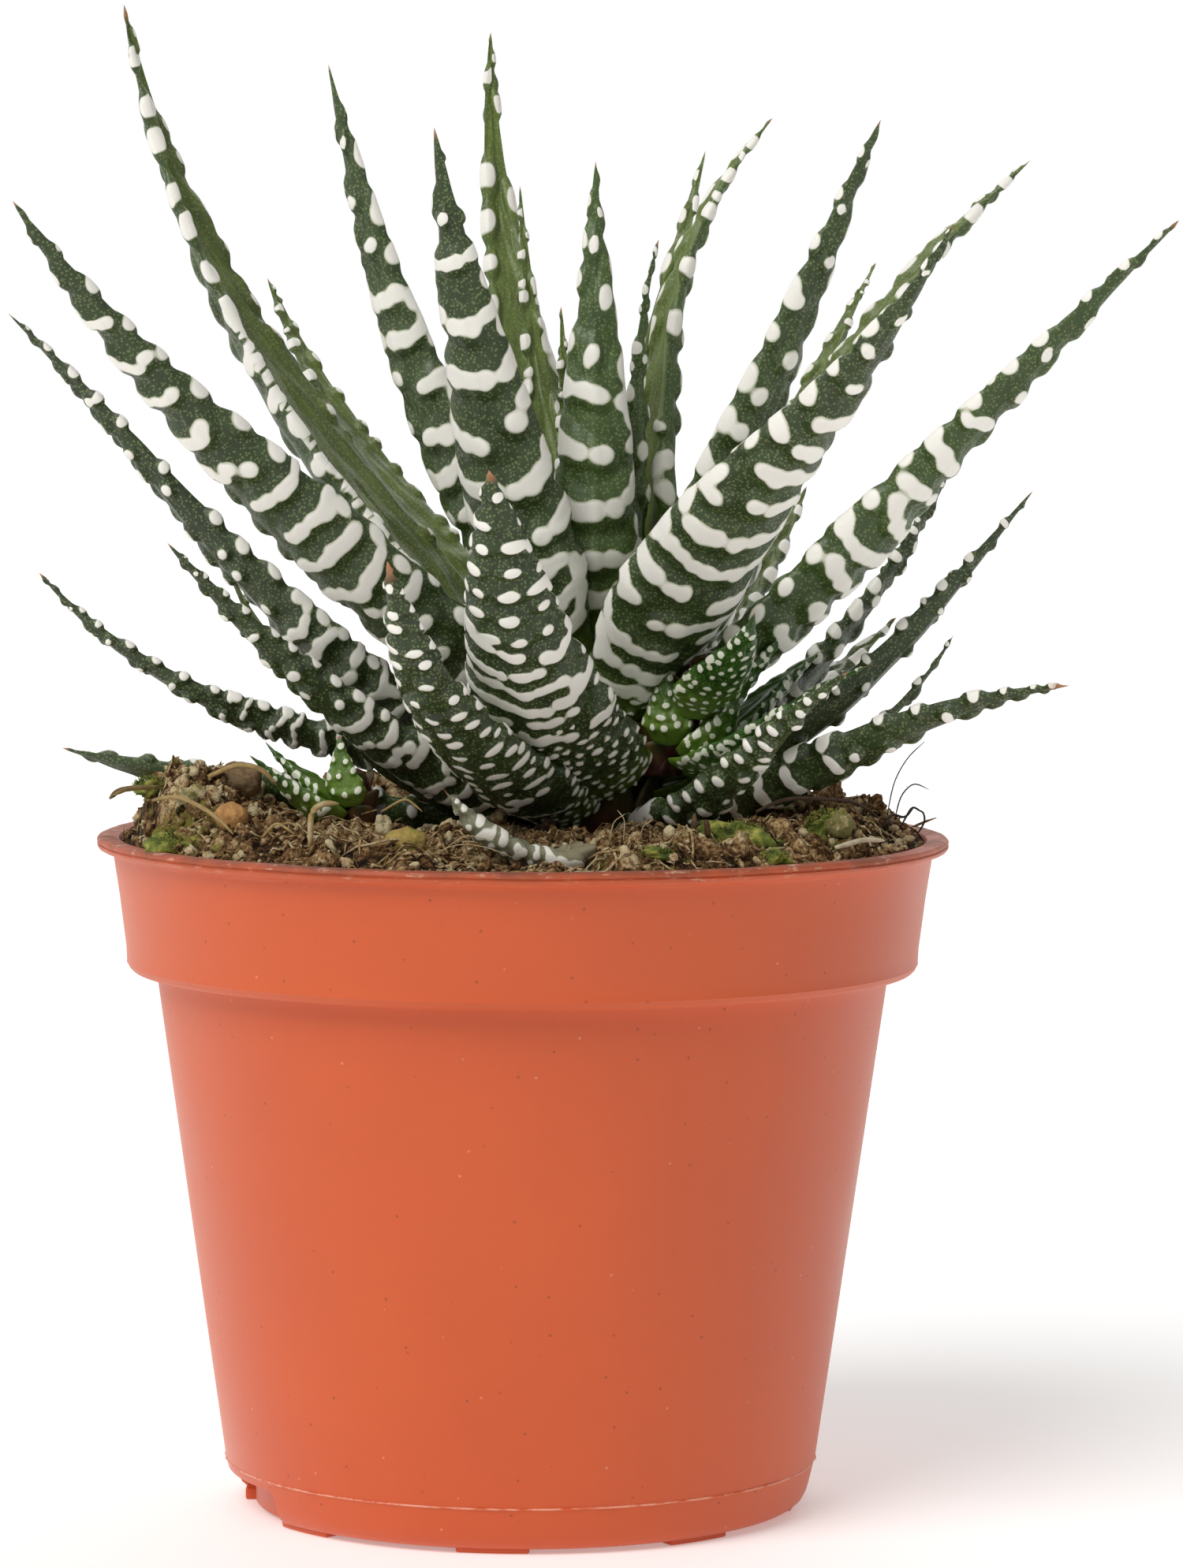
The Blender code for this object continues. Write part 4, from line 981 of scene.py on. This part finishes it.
bpy.ops.mesh.select_all(action="SELECT")
bpy.ops.mesh.region_to_loop()
bpy.ops.mesh.extrude_region_move(TRANSFORM_OT_translate={"value": (0, 0, -soilLook["deep"] * mm)})
bpy.ops.mesh.edge_face_add()
bpy.ops.object.mode_set(mode="OBJECT")
turnOutward(soil)
bpy.ops.object.shade_smooth()
extra = len(soil.data.vertices) - len(z)
# painted shade: the soil surface is dark peat, kept darker still so that the gaps between the crumbs read as shade, and
# its tone follows the lumps, darker in the hollows and paler on the tops, with slow random tone
addAttribute(soil, "tone", np.append(0.2 + 0.3 * rough + 0.12 * lumpField(flatPoints, 7.0, 3), np.zeros(extra)))
addAttribute(soil, "green", np.append(greenAt(x, y), np.zeros(extra)))
dress(soil, soilStuff, replaces="soil")
soilTop = surfaceOf(soil)
print("soil laid")

# crumbs: a few shapes made once, then set down many times
# how many, size range mm, steps of the ball they start from, shapes, farthest radius mm, share on the heaps
crumbKinds = {
    "clods": dict(many=130, size=(1.5, 3.7), steps=3, shapes=8, edge=40.8, heap=0.25),
    "crumbs": dict(many=2300, size=(0.6, 1.6), steps=2, shapes=8, edge=42.0, heap=0.15),
    "grains": dict(many=3600, size=(0.3, 0.75), steps=1, shapes=6, edge=42.2, heap=0.12),
}
crumbHeaps = {"left": ((-32.0, -17.0), (4.5, 5.5)), "right": ((33.0, -8.0), (3.5, 6.0))}  # middle and spread, mm
crumbTone = {"mean": 0.58, "spread": 0.28, "paleChance": 0.14, "paler": 0.34}


def crumbShape(steps, seed):
    # a ball of radius 1 swollen and creased
    bpy.ops.object.select_all(action="DESELECT")
    bpy.ops.mesh.primitive_ico_sphere_add(subdivisions=steps, radius=1.0, location=(0, 0, 0))
    ball = bpy.context.object
    points = pointsOf(ball)
    faces = np.array([tuple(p.vertices) for p in ball.data.polygons])
    bpy.data.objects.remove(ball, do_unlink=True)
    swell = 1 + 0.5 * lumpField(points, 0.7, seed) - 0.45 * np.abs(lumpField(points, 0.38, seed + 50)) + 0.15
    return points * swell[:, None], faces


def randomTurns(rng, many):
    # turning matrices from random quaternions
    w, i, j, k = unit(rng.normal(size=(many, 4))).T
    return np.stack([
        np.stack([1 - 2 * (j * j + k * k), 2 * (i * j - k * w), 2 * (i * k + j * w)], axis=-1),
        np.stack([2 * (i * j + k * w), 1 - 2 * (i * i + k * k), 2 * (j * k - i * w)], axis=-1),
        np.stack([2 * (i * k - j * w), 2 * (j * k + i * w), 1 - 2 * (i * i + j * j)], axis=-1)], axis=1)


def scatter(name, kind, rng):
    shapes = [crumbShape(kind["steps"], 7 * s + kind["steps"]) for s in range(kind["shapes"])]
    many = kind["many"]
    radius = kind["edge"] * np.sqrt(rng.uniform(0.02, 1, many))
    angle = rng.uniform(0, 2 * math.pi, many)
    spots = np.stack([radius * np.sin(angle), -radius * np.cos(angle)], axis=1)
    heap = int(many * kind["heap"])  # more of them on the left heap, and a third of those on the right one
    for share, (middle, reach) in ((heap, crumbHeaps["left"]), (heap // 3, crumbHeaps["right"])):
        spots[:share] = np.array(middle) + rng.normal(size=(share, 2)) * np.array(reach)
    over = np.hypot(spots[:, 0], spots[:, 1])
    spots *= np.minimum(1, kind["edge"] / over)[:, None]
    sizes = kind["size"][0] + (kind["size"][1] - kind["size"][0]) * rng.uniform(0, 1, many) ** 2
    tones = rng.normal(crumbTone["mean"], crumbTone["spread"], many)
    pale = np.where(rng.random(many) < crumbTone["paleChance"], crumbTone["paler"], 0)  # flecks, not big clods
    tones = np.clip(tones + pale * np.clip(1.7 - 0.6 * sizes, 0.1, 1), 0.02, 1.0)
    turns = randomTurns(rng, many)
    squash = rng.uniform(0.36, 1.0, (many, 3))
    points, faces, tone, green, count = [], [], [], [], 0
    for k in range(many):
        shape, sides = shapes[k % len(shapes)]
        x, y = spots[k]
        z = topAt(soilTop, x, y) + sizes[k] * 0.22
        body = (shape * squash[k] * sizes[k] / 2) @ turns[k].T + np.array([x, y, z])
        points.append(body)
        faces.append(sides + count)
        tone.append(np.full(len(body), tones[k]))
        green.append(np.full(len(body), 0.8 * greenAt(x, y) + (0.35 if rng.random() < 0.06 else 0)))
        count += len(body)
    piece = meshPiece(name, np.concatenate(points) * mm, np.concatenate(faces).tolist(), soilStuff)
    addAttribute(piece, "tone", np.concatenate(tone))
    addAttribute(piece, "green", np.concatenate(green))


for seed, (kindName, kind) in enumerate(crumbKinds.items()):
    scatter("soil_" + kindName, kind, np.random.default_rng(900 + seed))
print("crumbs scattered")


def tubePoints(path, radii, sides):
    # rings round a path, mm
    path = np.asarray(path, float)
    ways = np.gradient(path, axis=0)
    ways /= np.linalg.norm(ways, axis=1)[:, None] + 1e-9
    guide = np.array([0.31, 0.17, 0.93])
    first = np.cross(ways, guide)
    first /= np.linalg.norm(first, axis=1)[:, None] + 1e-9
    second = np.cross(ways, first)
    angles = np.arange(sides) * 2 * math.pi / sides
    rings = (path[:, None, :] + np.asarray(radii)[:, None, None]
             * (first[:, None, :] * np.cos(angles)[None, :, None] + second[:, None, :] * np.sin(angles)[None, :, None]))
    return rings.reshape(-1, 3)


def tubeFaces(rings, sides, start):
    faces = []
    for ring in range(rings - 1):
        for k in range(sides):
            a, b = start + ring * sides + k, start + ring * sides + (k + 1) % sides
            faces.append((a, b, b + sides, a + sides))
    faces.append(tuple(start + k for k in reversed(range(sides))))
    faces.append(tuple(start + (rings - 1) * sides + k for k in range(sides)))
    return faces


def joinTubes(name, tubes, sides, stuff, tones):
    # one piece of many tubes, each a path and its radii, mm
    points, faces, tone, count = [], [], [], 0
    for (path, radii), value in zip(tubes, tones):
        ring = tubePoints(path, radii, sides)
        points.append(ring)
        faces += tubeFaces(len(path), sides, count)
        tone.append(np.full(len(ring), value))
        count += len(ring)
    piece = meshPiece(name, np.concatenate(points) * mm, faces, stuff)
    turnOutward(piece)
    addAttribute(piece, "tone", np.concatenate(tone))
    addAttribute(piece, "green", np.zeros(count))


# coir and peat fibres lying in and on the mix, mm
fibreSet = {
    "many": 1500, "longOnes": 60, "short": (1.2, 5.0), "long": (5.0, 10.0), "edge": 41.5, "farthest": 42.6,
    "radius": (0.07, 0.19), "taper": (0.5, 1, 1, 0.9, 0.8, 0.3), "above": 0.25,
}
rng = np.random.default_rng(77)
tubes, tones = [], []
steps = len(fibreSet["taper"])
for k in range(fibreSet["many"]):
    radius = fibreSet["edge"] * math.sqrt(rng.uniform(0.05, 1))
    angle = rng.uniform(0, 2 * math.pi)
    x, y = radius * math.sin(angle), -radius * math.cos(angle)
    long = rng.uniform(*fibreSet["short" if k > fibreSet["longOnes"] else "long"])
    heading = rng.uniform(0, 2 * math.pi)
    bend = rng.normal(0, 0.25)
    rise = rng.uniform(-0.1, 0.5)
    path = []
    for step in range(steps):
        path.append((x, y, topAt(soilTop, x, y) + fibreSet["above"] + rise * step * long / steps * 0.5))
        heading += bend
        x += math.cos(heading) * long / (steps - 1)
        y += math.sin(heading) * long / (steps - 1)
        if math.hypot(x, y) > fibreSet["farthest"]:
            x, y = x * 0.985, y * 0.985
    tubes.append((path, np.array(fibreSet["taper"]) * rng.uniform(*fibreSet["radius"])))
    tones.append(float(np.clip(rng.normal(0.58, 0.2), 0.1, 0.98)))
joinTubes("soil_fibres", tubes, 4, soilStuff, tones)
print("fibres laid")


def curvedPath(stops, count):
    # a smooth path through a few points, mm
    stops = np.array(stops, float)
    at = np.linspace(0, len(stops) - 1, count)
    path = np.stack([np.interp(at, range(len(stops)), stops[:, k]) for k in range(3)], axis=1)
    for _ in range(3):
        path[1:-1] = (path[:-2] + 2 * path[1:-1] + path[2:]) / 4
    return path


rootStuff, tree, shader, place = newMaterial("dryRootSkin", {
    # woody root, dull
    "Roughness": 0.7, "IOR": 1.45, "Specular IOR Level": 0.35})
tone = addNode(tree, "ShaderNodeAttribute", {"attribute_name": "tone"}).outputs["Fac"]
grain = addNode(tree, "ShaderNodeTexNoise", values={"Scale": 1200.0, "Detail": 3.0}, links={"Vector": place})
spread = addNode(tree, "ShaderNodeMath", {"operation": "MULTIPLY_ADD"}, {1: 0.3}, {0: grain.outputs["Fac"], 2: tone})
rooted = addNode(tree, "ShaderNodeValToRGB", links={"Fac": spread.outputs[0]},
                 ramp=[(0.15, "#17100B"), (0.4, "#4A3320"), (0.7, "#A38A58"), (0.95, "#E4DCC6")])
finishSurface(tree, shader, rooted.outputs["Color"], grain.outputs["Fac"], 0.5, 0.2)

# dry roots, twigs and hairs: points on the way, radius, mm, and tone
rootPaths = [
    ([(-21, -33.5, 72.6), (-21, -33.6, 75.2), (-20.8, -33.4, 76.6), (-19.4, -33.2, 77.2),
      (-18.2, -32.6, 77.0)], 0.34, 0.55),
    ([(-32, -21, 78.8), (-29, -21.8, 80.2), (-26.5, -22, 79.8), (-25, -21.5, 78.0)], 0.3, 0.5),
    ([(-38, -17, 76.0), (-35, -22, 77.0), (-31, -27, 75.4), (-29, -29, 73.6)], 0.24, 0.5),
    ([(24, -25, 75.8), (27, -23, 77.2), (31, -19, 76.6), (34.5, -14, 76.2), (37, -12, 74.2)], 0.22, 0.16),
    ([(37.5, -10, 73.0), (38.6, -8, 74.4), (40.0, -6.6, 73.6), (41.0, -5.0, 74.6)], 0.14, 0.05),
    ([(39.6, -8, 73.0), (40.8, -6.5, 75.0), (42.0, -6.0, 74.2)], 0.12, 0.05),
    ([(41.6, -4.4, 72.0), (42.3, -4.6, 73.2), (42.1, -4.8, 74.2), (41.5, -4.6, 74.4)], 0.11, 0.08),
    ([(38.2, -5, 73.4), (38.9, -4.6, 77.4), (40.4, -4.4, 80.0), (42.2, -4.2, 81.6)], 0.07, 0.2),
    ([(39.0, -6, 73.4), (39.6, -5.4, 76.0), (41.0, -5.0, 77.4), (42.6, -5, 76.6)], 0.08, 0.1),
    ([(32.0, -27.5, 72.4), (35.0, -23.6, 72.9), (37.2, -21.4, 72.6)], 0.3, 0.68),
    ([(9.0, -33, 73.2), (9.4, -33.2, 75.4), (10.6, -33.2, 76.2)], 0.055, 0.62),
    ([(10.4, -33, 73.2), (10.6, -33.4, 75.6), (9.8, -33.4, 76.6)], 0.05, 0.62),
    ([(12.0, -32.6, 73.4), (12.4, -33.2, 75.0), (13.4, -33.0, 75.6)], 0.055, 0.6),
    ([(17.5, -30, 73.6), (17.6, -30.6, 76.0)], 0.3, 0.3),
    ([(19.0, -30, 73.6), (18.8, -30.4, 75.4)], 0.34, 0.26),
    ([(16.4, -30.4, 73.6), (16.0, -30.8, 75.0)], 0.26, 0.4),
    ([(-9.0, -37, 72.2), (-6.0, -37.8, 73.6), (-3.0, -38.4, 73.2), (-0.6, -38.6, 72.2)], 0.05, 0.6),
    ([(-8.0, -36.4, 72.4), (-5.4, -37.4, 74.4), (-2.4, -37.6, 73.8)], 0.05, 0.6),
    ([(-26.0, -31, 73.4), (-24.4, -32.6, 75.2), (-22.6, -33.4, 74.0)], 0.16, 0.5),
    ([(-14.0, -30, 76.0), (-11.5, -31.4, 77.6), (-9.8, -31.8, 76.2)], 0.14, 0.45),
    ([(-39.5, -15, 77.2), (-41.6, -16.4, 77.0), (-42.4, -17.4, 76.2)], 0.3, 0.35),
    ([(-37.5, -17, 77.4), (-40.4, -19.4, 77.4), (-41.8, -20.2, 76.8)], 0.24, 0.4),
    ([(30, 22, 74), (26, 28, 75.6), (20, 32, 74.4)], 0.3, 0.4),
    ([(-28, 24, 74), (-33, 18, 75.4), (-37, 10, 74)], 0.3, 0.3),
]
rootSteps = 14
rootTaper = np.interp(np.linspace(0, 1, rootSteps), (0, 0.2, 0.8, 1), (0.7, 1, 0.9, 0.35))
tubes = [(curvedPath(stops, rootSteps), thick * rootTaper) for stops, thick, _ in rootPaths]
joinTubes("roots_and_twigs", tubes, 8, rootStuff, [tone for _, _, tone in rootPaths])
print("roots laid")

mossStuff, tree, shader, place = newMaterial("cushionMoss", {
    # tiny wet-green leaflets, matt
    "Roughness": 0.75, "IOR": 1.4, "Specular IOR Level": 0.3, "Sheen Weight": 0.2, "Sheen Tint": linear("#C8D88A")})
mottle = addNode(tree, "ShaderNodeTexNoise", values={"Scale": 900.0, "Detail": 4.0}, links={"Vector": place})
mossColour = addNode(tree, "ShaderNodeValToRGB", links={"Fac": mottle.outputs["Fac"]},
                     ramp=[(0.3, "#333B17"), (0.48, "#626C29"), (0.62, "#989546"), (0.78, "#BBAA66")])
finishSurface(tree, shader, mossColour.outputs["Color"], mottle.outputs["Fac"], 0.9, 0.3)

mossLook = {"leaflets": 260, "leafletLong": (0.3, 0.65), "ballSteps": 4}  # leaflets on each cushion, mm
# cushions: x, y, half width across, half depth, height, mm
mossCushions = [(22.0, -27.5, 4.2, 2.2, 2.4), (25.6, -32.0, 1.6, 1.1, 1.0), (31.5, -19.0, 2.8, 2.2, 2.6),
                (-35.0, -21.5, 3.0, 2.4, 1.8), (13.5, -36.0, 2.0, 1.2, 0.8), (-38.5, -11.0, 2.2, 2.4, 1.4),
                (-21.0, 29.0, 3.2, 2.4, 1.4), (24.0, 29.0, 3.0, 2.6, 1.4)]
rng = np.random.default_rng(31)
points, faces, count = [], [], 0
for k, (x, y, wide, deep, tall) in enumerate(mossCushions):
    shape, sides = crumbShape(mossLook["ballSteps"], 200 + k)
    shape = shape * (1 + 0.12 * lumpField(shape, 0.16, 60 + k))[:, None]
    size, middle = np.array([wide, deep, tall]), np.array([x, y, topAt(soilTop, x, y) + 0.1])
    points.append(shape * size * 0.85 + middle)
    faces += (sides + count).tolist()
    count += len(shape)
    for _ in range(mossLook["leaflets"]):  # each a thin three-sided spike
        way = rng.normal(size=3)
        way[2] = abs(way[2]) + 0.2
        way /= np.linalg.norm(way)
        at = way * size * 0.86 + middle
        lean = way + rng.normal(size=3) * 0.5
        lean /= np.linalg.norm(lean)
        across = np.cross(lean, rng.normal(size=3))
        across /= np.linalg.norm(across)
        over = np.cross(lean, across)
        long = rng.uniform(*mossLook["leafletLong"])
        points.append(np.array([at + across * 0.1, at - across * 0.05 + over * 0.09, at - across * 0.05 - over * 0.09,
                                at + lean * long]))
        faces += [(count, count + 1, count + 3), (count + 1, count + 2, count + 3), (count + 2, count, count + 3),
                  (count, count + 2, count + 1)]
        count += 4
meshPiece("moss_cushions", np.concatenate(points) * mm, faces, mossStuff)
print("moss set")


# weathered sandstone and clay: dark and pale colour, and how green with algae
stoneKinds = {
    "stone_brown": dict(colours=("#5B4632", "#9A7E5C"), seed=5, green=0.1),
    "stone_tan": dict(colours=("#8E6236", "#CB9A5E"), seed=6, green=0.0),
    "stone_green": dict(colours=("#8A7A3A", "#B99E58"), seed=7, green=0.6),
}
stoneLumps = ((0.16, 0.9), (0.07, 0.35), (0.03, 0.12))  # height and size, as shares of the radius
for nodeName, kind in stoneKinds.items():
    stoneLow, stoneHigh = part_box(nodeName)
    middle, half = (stoneLow + stoneHigh) / 2, (stoneHigh - stoneLow) / 2
    bpy.ops.object.select_all(action="DESELECT")
    bpy.ops.mesh.primitive_ico_sphere_add(subdivisions=5, radius=1.0, location=(0, 0, 0))
    stone = bpy.context.object
    stone.name = nodeName + "_grit"
    ball = pointsOf(stone)
    swell = 1 + sum(tall * lumpField(ball, size, kind["seed"]) for tall, size in stoneLumps)
    ball = ball * swell[:, None] * np.array(half) * 1.04 + np.array(middle)
    stone.data.vertices.foreach_set("co", ball.astype(np.float32).ravel())
    stone.data.update()
    bpy.ops.object.shade_smooth()
    stuff, tree, shader, place = newMaterial("sandstoneGrit_" + nodeName, {
        # dusty, no gloss
        "Roughness": 0.85, "IOR": 1.5, "Specular IOR Level": 0.35})
    grains = addNode(tree, "ShaderNodeTexNoise", values={"Scale": 1300.0, "Detail": 5.0, "Roughness": 0.7},
                     links={"Vector": place})
    rock = addNode(tree, "ShaderNodeValToRGB", links={"Fac": grains.outputs["Fac"]},
                   ramp=[(0.3, kind["colours"][0]), (0.68, kind["colours"][1])])
    algae = addNode(tree, "ShaderNodeTexNoise", values={"Scale": 420.0, "Detail": 3.0}, links={"Vector": place})
    algaeShare = addNode(tree, "ShaderNodeMapRange", softStep,
                         {"From Min": 0.62 - 0.2 * kind["green"], "From Max": 0.72 - 0.15 * kind["green"],
                          "To Max": kind["green"]},
                         {"Value": algae.outputs["Fac"]})
    mixed = addNode(tree, "ShaderNodeMix", colourMix, {7: linear("#66822B")},
                    {0: algaeShare.outputs["Result"], 6: rock.outputs["Color"]})
    finishSurface(tree, shader, mixed.outputs[2], grains.outputs["Fac"], 0.7, 0.3)
    dress(stone, stuff, replaces=nodeName)
print("stones set")


sheathStuff, tree, shader, place = newMaterial("driedLeafSheath", {
    # old leaf bases: papery reddish brown, green where they are alive
    "Roughness": 0.5, "IOR": 1.45, "Subsurface Weight": 0.08, "Subsurface Radius": (1.0, 0.4, 0.2),
    "Subsurface Scale": 0.001})
live = addNode(tree, "ShaderNodeAttribute", {"attribute_name": "live"}).outputs["Fac"]
streak = addNode(tree, "ShaderNodeTexNoise", values={"Scale": 700.0, "Detail": 4.0},
                 links={"Vector": addNode(tree, "ShaderNodeMapping", values={"Scale": (1.0, 1.0, 0.25)},
                                          links={"Vector": place}).outputs[0]})
bark = addNode(tree, "ShaderNodeValToRGB", links={"Fac": streak.outputs["Fac"]},
               ramp=[(0.3, "#2A120B"), (0.55, "#54281A"), (0.75, "#7C4A30")])
alive = addNode(tree, "ShaderNodeValToRGB", links={"Fac": streak.outputs["Fac"]},
                ramp=[(0.3, "#26380F"), (0.7, "#4E6A22")])
sheathed = addNode(tree, "ShaderNodeMix", colourMix,
                   links={0: live, 6: bark.outputs["Color"], 7: alive.outputs["Color"]})
finishSurface(tree, shader, sheathed.outputs[2], streak.outputs["Fac"], 0.4, 0.2)

# each stem carries rings of clasping scales: rings, scales in a ring, how far they stand out and their height, mm,
# and how green they are
stemKinds = {
    "stem": dict(rings=7, scales=4, out=3.4, tall=9.0, seed=1, live=0.9),
    "offset_stem": dict(rings=5, scales=3, out=1.5, tall=4.2, seed=2, live=0.5),
    "young_stem": dict(rings=3, scales=3, out=0.9, tall=2.6, seed=3, live=0.5),
}
stemGrid = {"rows": 60, "columns": 64, "scaleRows": 12, "scaleColumns": 14}


def claspingScale(foot, radius, tall, out, facing, spread, thick):
    # a broad pointed scale that wraps the stem: a closed lens of two sheets
    rows, columns = stemGrid["scaleRows"], stemGrid["scaleColumns"]
    t = np.linspace(0, 1, rows + 1)[:, None]
    s = np.linspace(-1, 1, columns + 1)[None, :]
    width = spread * np.sqrt(np.clip(1 - t ** 2.2, 0, 1))
    angle = facing + width * s
    body = thick * (1 - s ** 2) * (1 - t ** 1.5) + 0.02
    sheets = []
    for sign in (1, -1):
        r = radius + out * t ** 1.3 * (0.75 + 0.25 * (1 - s ** 2)) + sign * body / 2
        edge = (np.abs(s) > 0.999) | (t > 0.999)
        r = np.where(edge, radius + out * t ** 1.3 * 0.75 + 0 * s, r)
        up = tall * t * (1 - 0.25 * s ** 2 * (1 - t))
        sheet = np.stack([foot[0] + r * np.sin(angle), foot[1] - r * np.cos(angle), foot[2] + up + 0 * s], axis=-1)
        sheets.append(sheet.reshape(-1, 3))
    grid = np.arange((rows + 1) * (columns + 1)).reshape(rows + 1, columns + 1)
    quads = np.stack([grid[:-1, :-1], grid[:-1, 1:], grid[1:, 1:], grid[1:, :-1]], axis=-1).reshape(-1, 4)
    faces = quads.tolist() + (quads[:, ::-1] + grid.size).tolist()
    faces += [(int(b), int(a), int(a) + grid.size, int(b) + grid.size) for a, b in zip(grid[0, :-1], grid[0, 1:])]
    live = np.clip(np.concatenate([(t * 1.3 - 0.25 + 0 * s).ravel()] * 2), 0, 1)
    return np.concatenate(sheets), faces, live


for nodeName, kind in stemKinds.items():
    cad = pointsOf(nodes[nodeName]) / mm
    lowZ, highZ = cad[:, 2].min(), cad[:, 2].max()
    foot, top = cad[cad[:, 2] < lowZ + 0.1], cad[cad[:, 2] > highZ - 0.1]
    footMiddle, topMiddle = ((end.min(axis=0) + end.max(axis=0)) / 2 for end in (foot, top))
    footRadius, topRadius = np.ptp(foot[:, 0]) / 2, np.ptp(top[:, 0]) / 2
    rng = np.random.default_rng(500 + kind["seed"])
    rows, columns = stemGrid["rows"], stemGrid["columns"]
    t = np.linspace(0, 1, rows)[:, None]
    angle = np.arange(columns)[None, :] * 2 * math.pi / columns
    radius = footRadius + (topRadius - footRadius) * t + 0 * angle
    ridges = 0.12 * np.sin(9 * angle + 6 * t) + 0.18 * np.sin(34 * t)
    radius = radius * 0.92 + ridges * min(1, footRadius / 4)
    axis = footMiddle[None, None, :] + (topMiddle - footMiddle)[None, None, :] * t[..., None]
    core = axis + np.stack([radius * np.sin(angle), -radius * np.cos(angle), 0 * radius], axis=-1)
    points = [core.reshape(-1, 3), footMiddle[None, :], topMiddle[None, :] + np.array([[0, 0, 0.4]])]
    count = rows * columns + 2
    faces = wrappedFaces(rows, columns, count - 1, count - 2)
    live = [np.zeros(count)]
    for ring in range(kind["rings"]):
        share = ring / kind["rings"]
        for scale in range(kind["scales"]):
            facing = 2 * math.pi * scale / kind["scales"] + ring * 1.1 + rng.normal(0, 0.15)
            at = footMiddle + (topMiddle - footMiddle) * share
            r = (footRadius + (topRadius - footRadius) * share) * 0.9
            scalePoints, scaleFaces, scaleLive = claspingScale(
                at, r, kind["tall"] * rng.uniform(0.85, 1.1) * (1 - 0.35 * share), kind["out"] * rng.uniform(0.8, 1.15),
                facing, rng.uniform(0.85, 1.1), 0.5)
            points.append(scalePoints)
            faces += [tuple(int(v) + count for v in f) for f in scaleFaces]
            live.append(scaleLive * kind["live"])
            count += len(scalePoints)
    piece = meshPiece(nodeName + "_sheaths", np.concatenate(points) * mm, faces, sheathStuff, replaces=nodeName)
    addAttribute(piece, "live", np.concatenate(live))
    turnOutward(piece, 0.001)
print("stems sheathed")
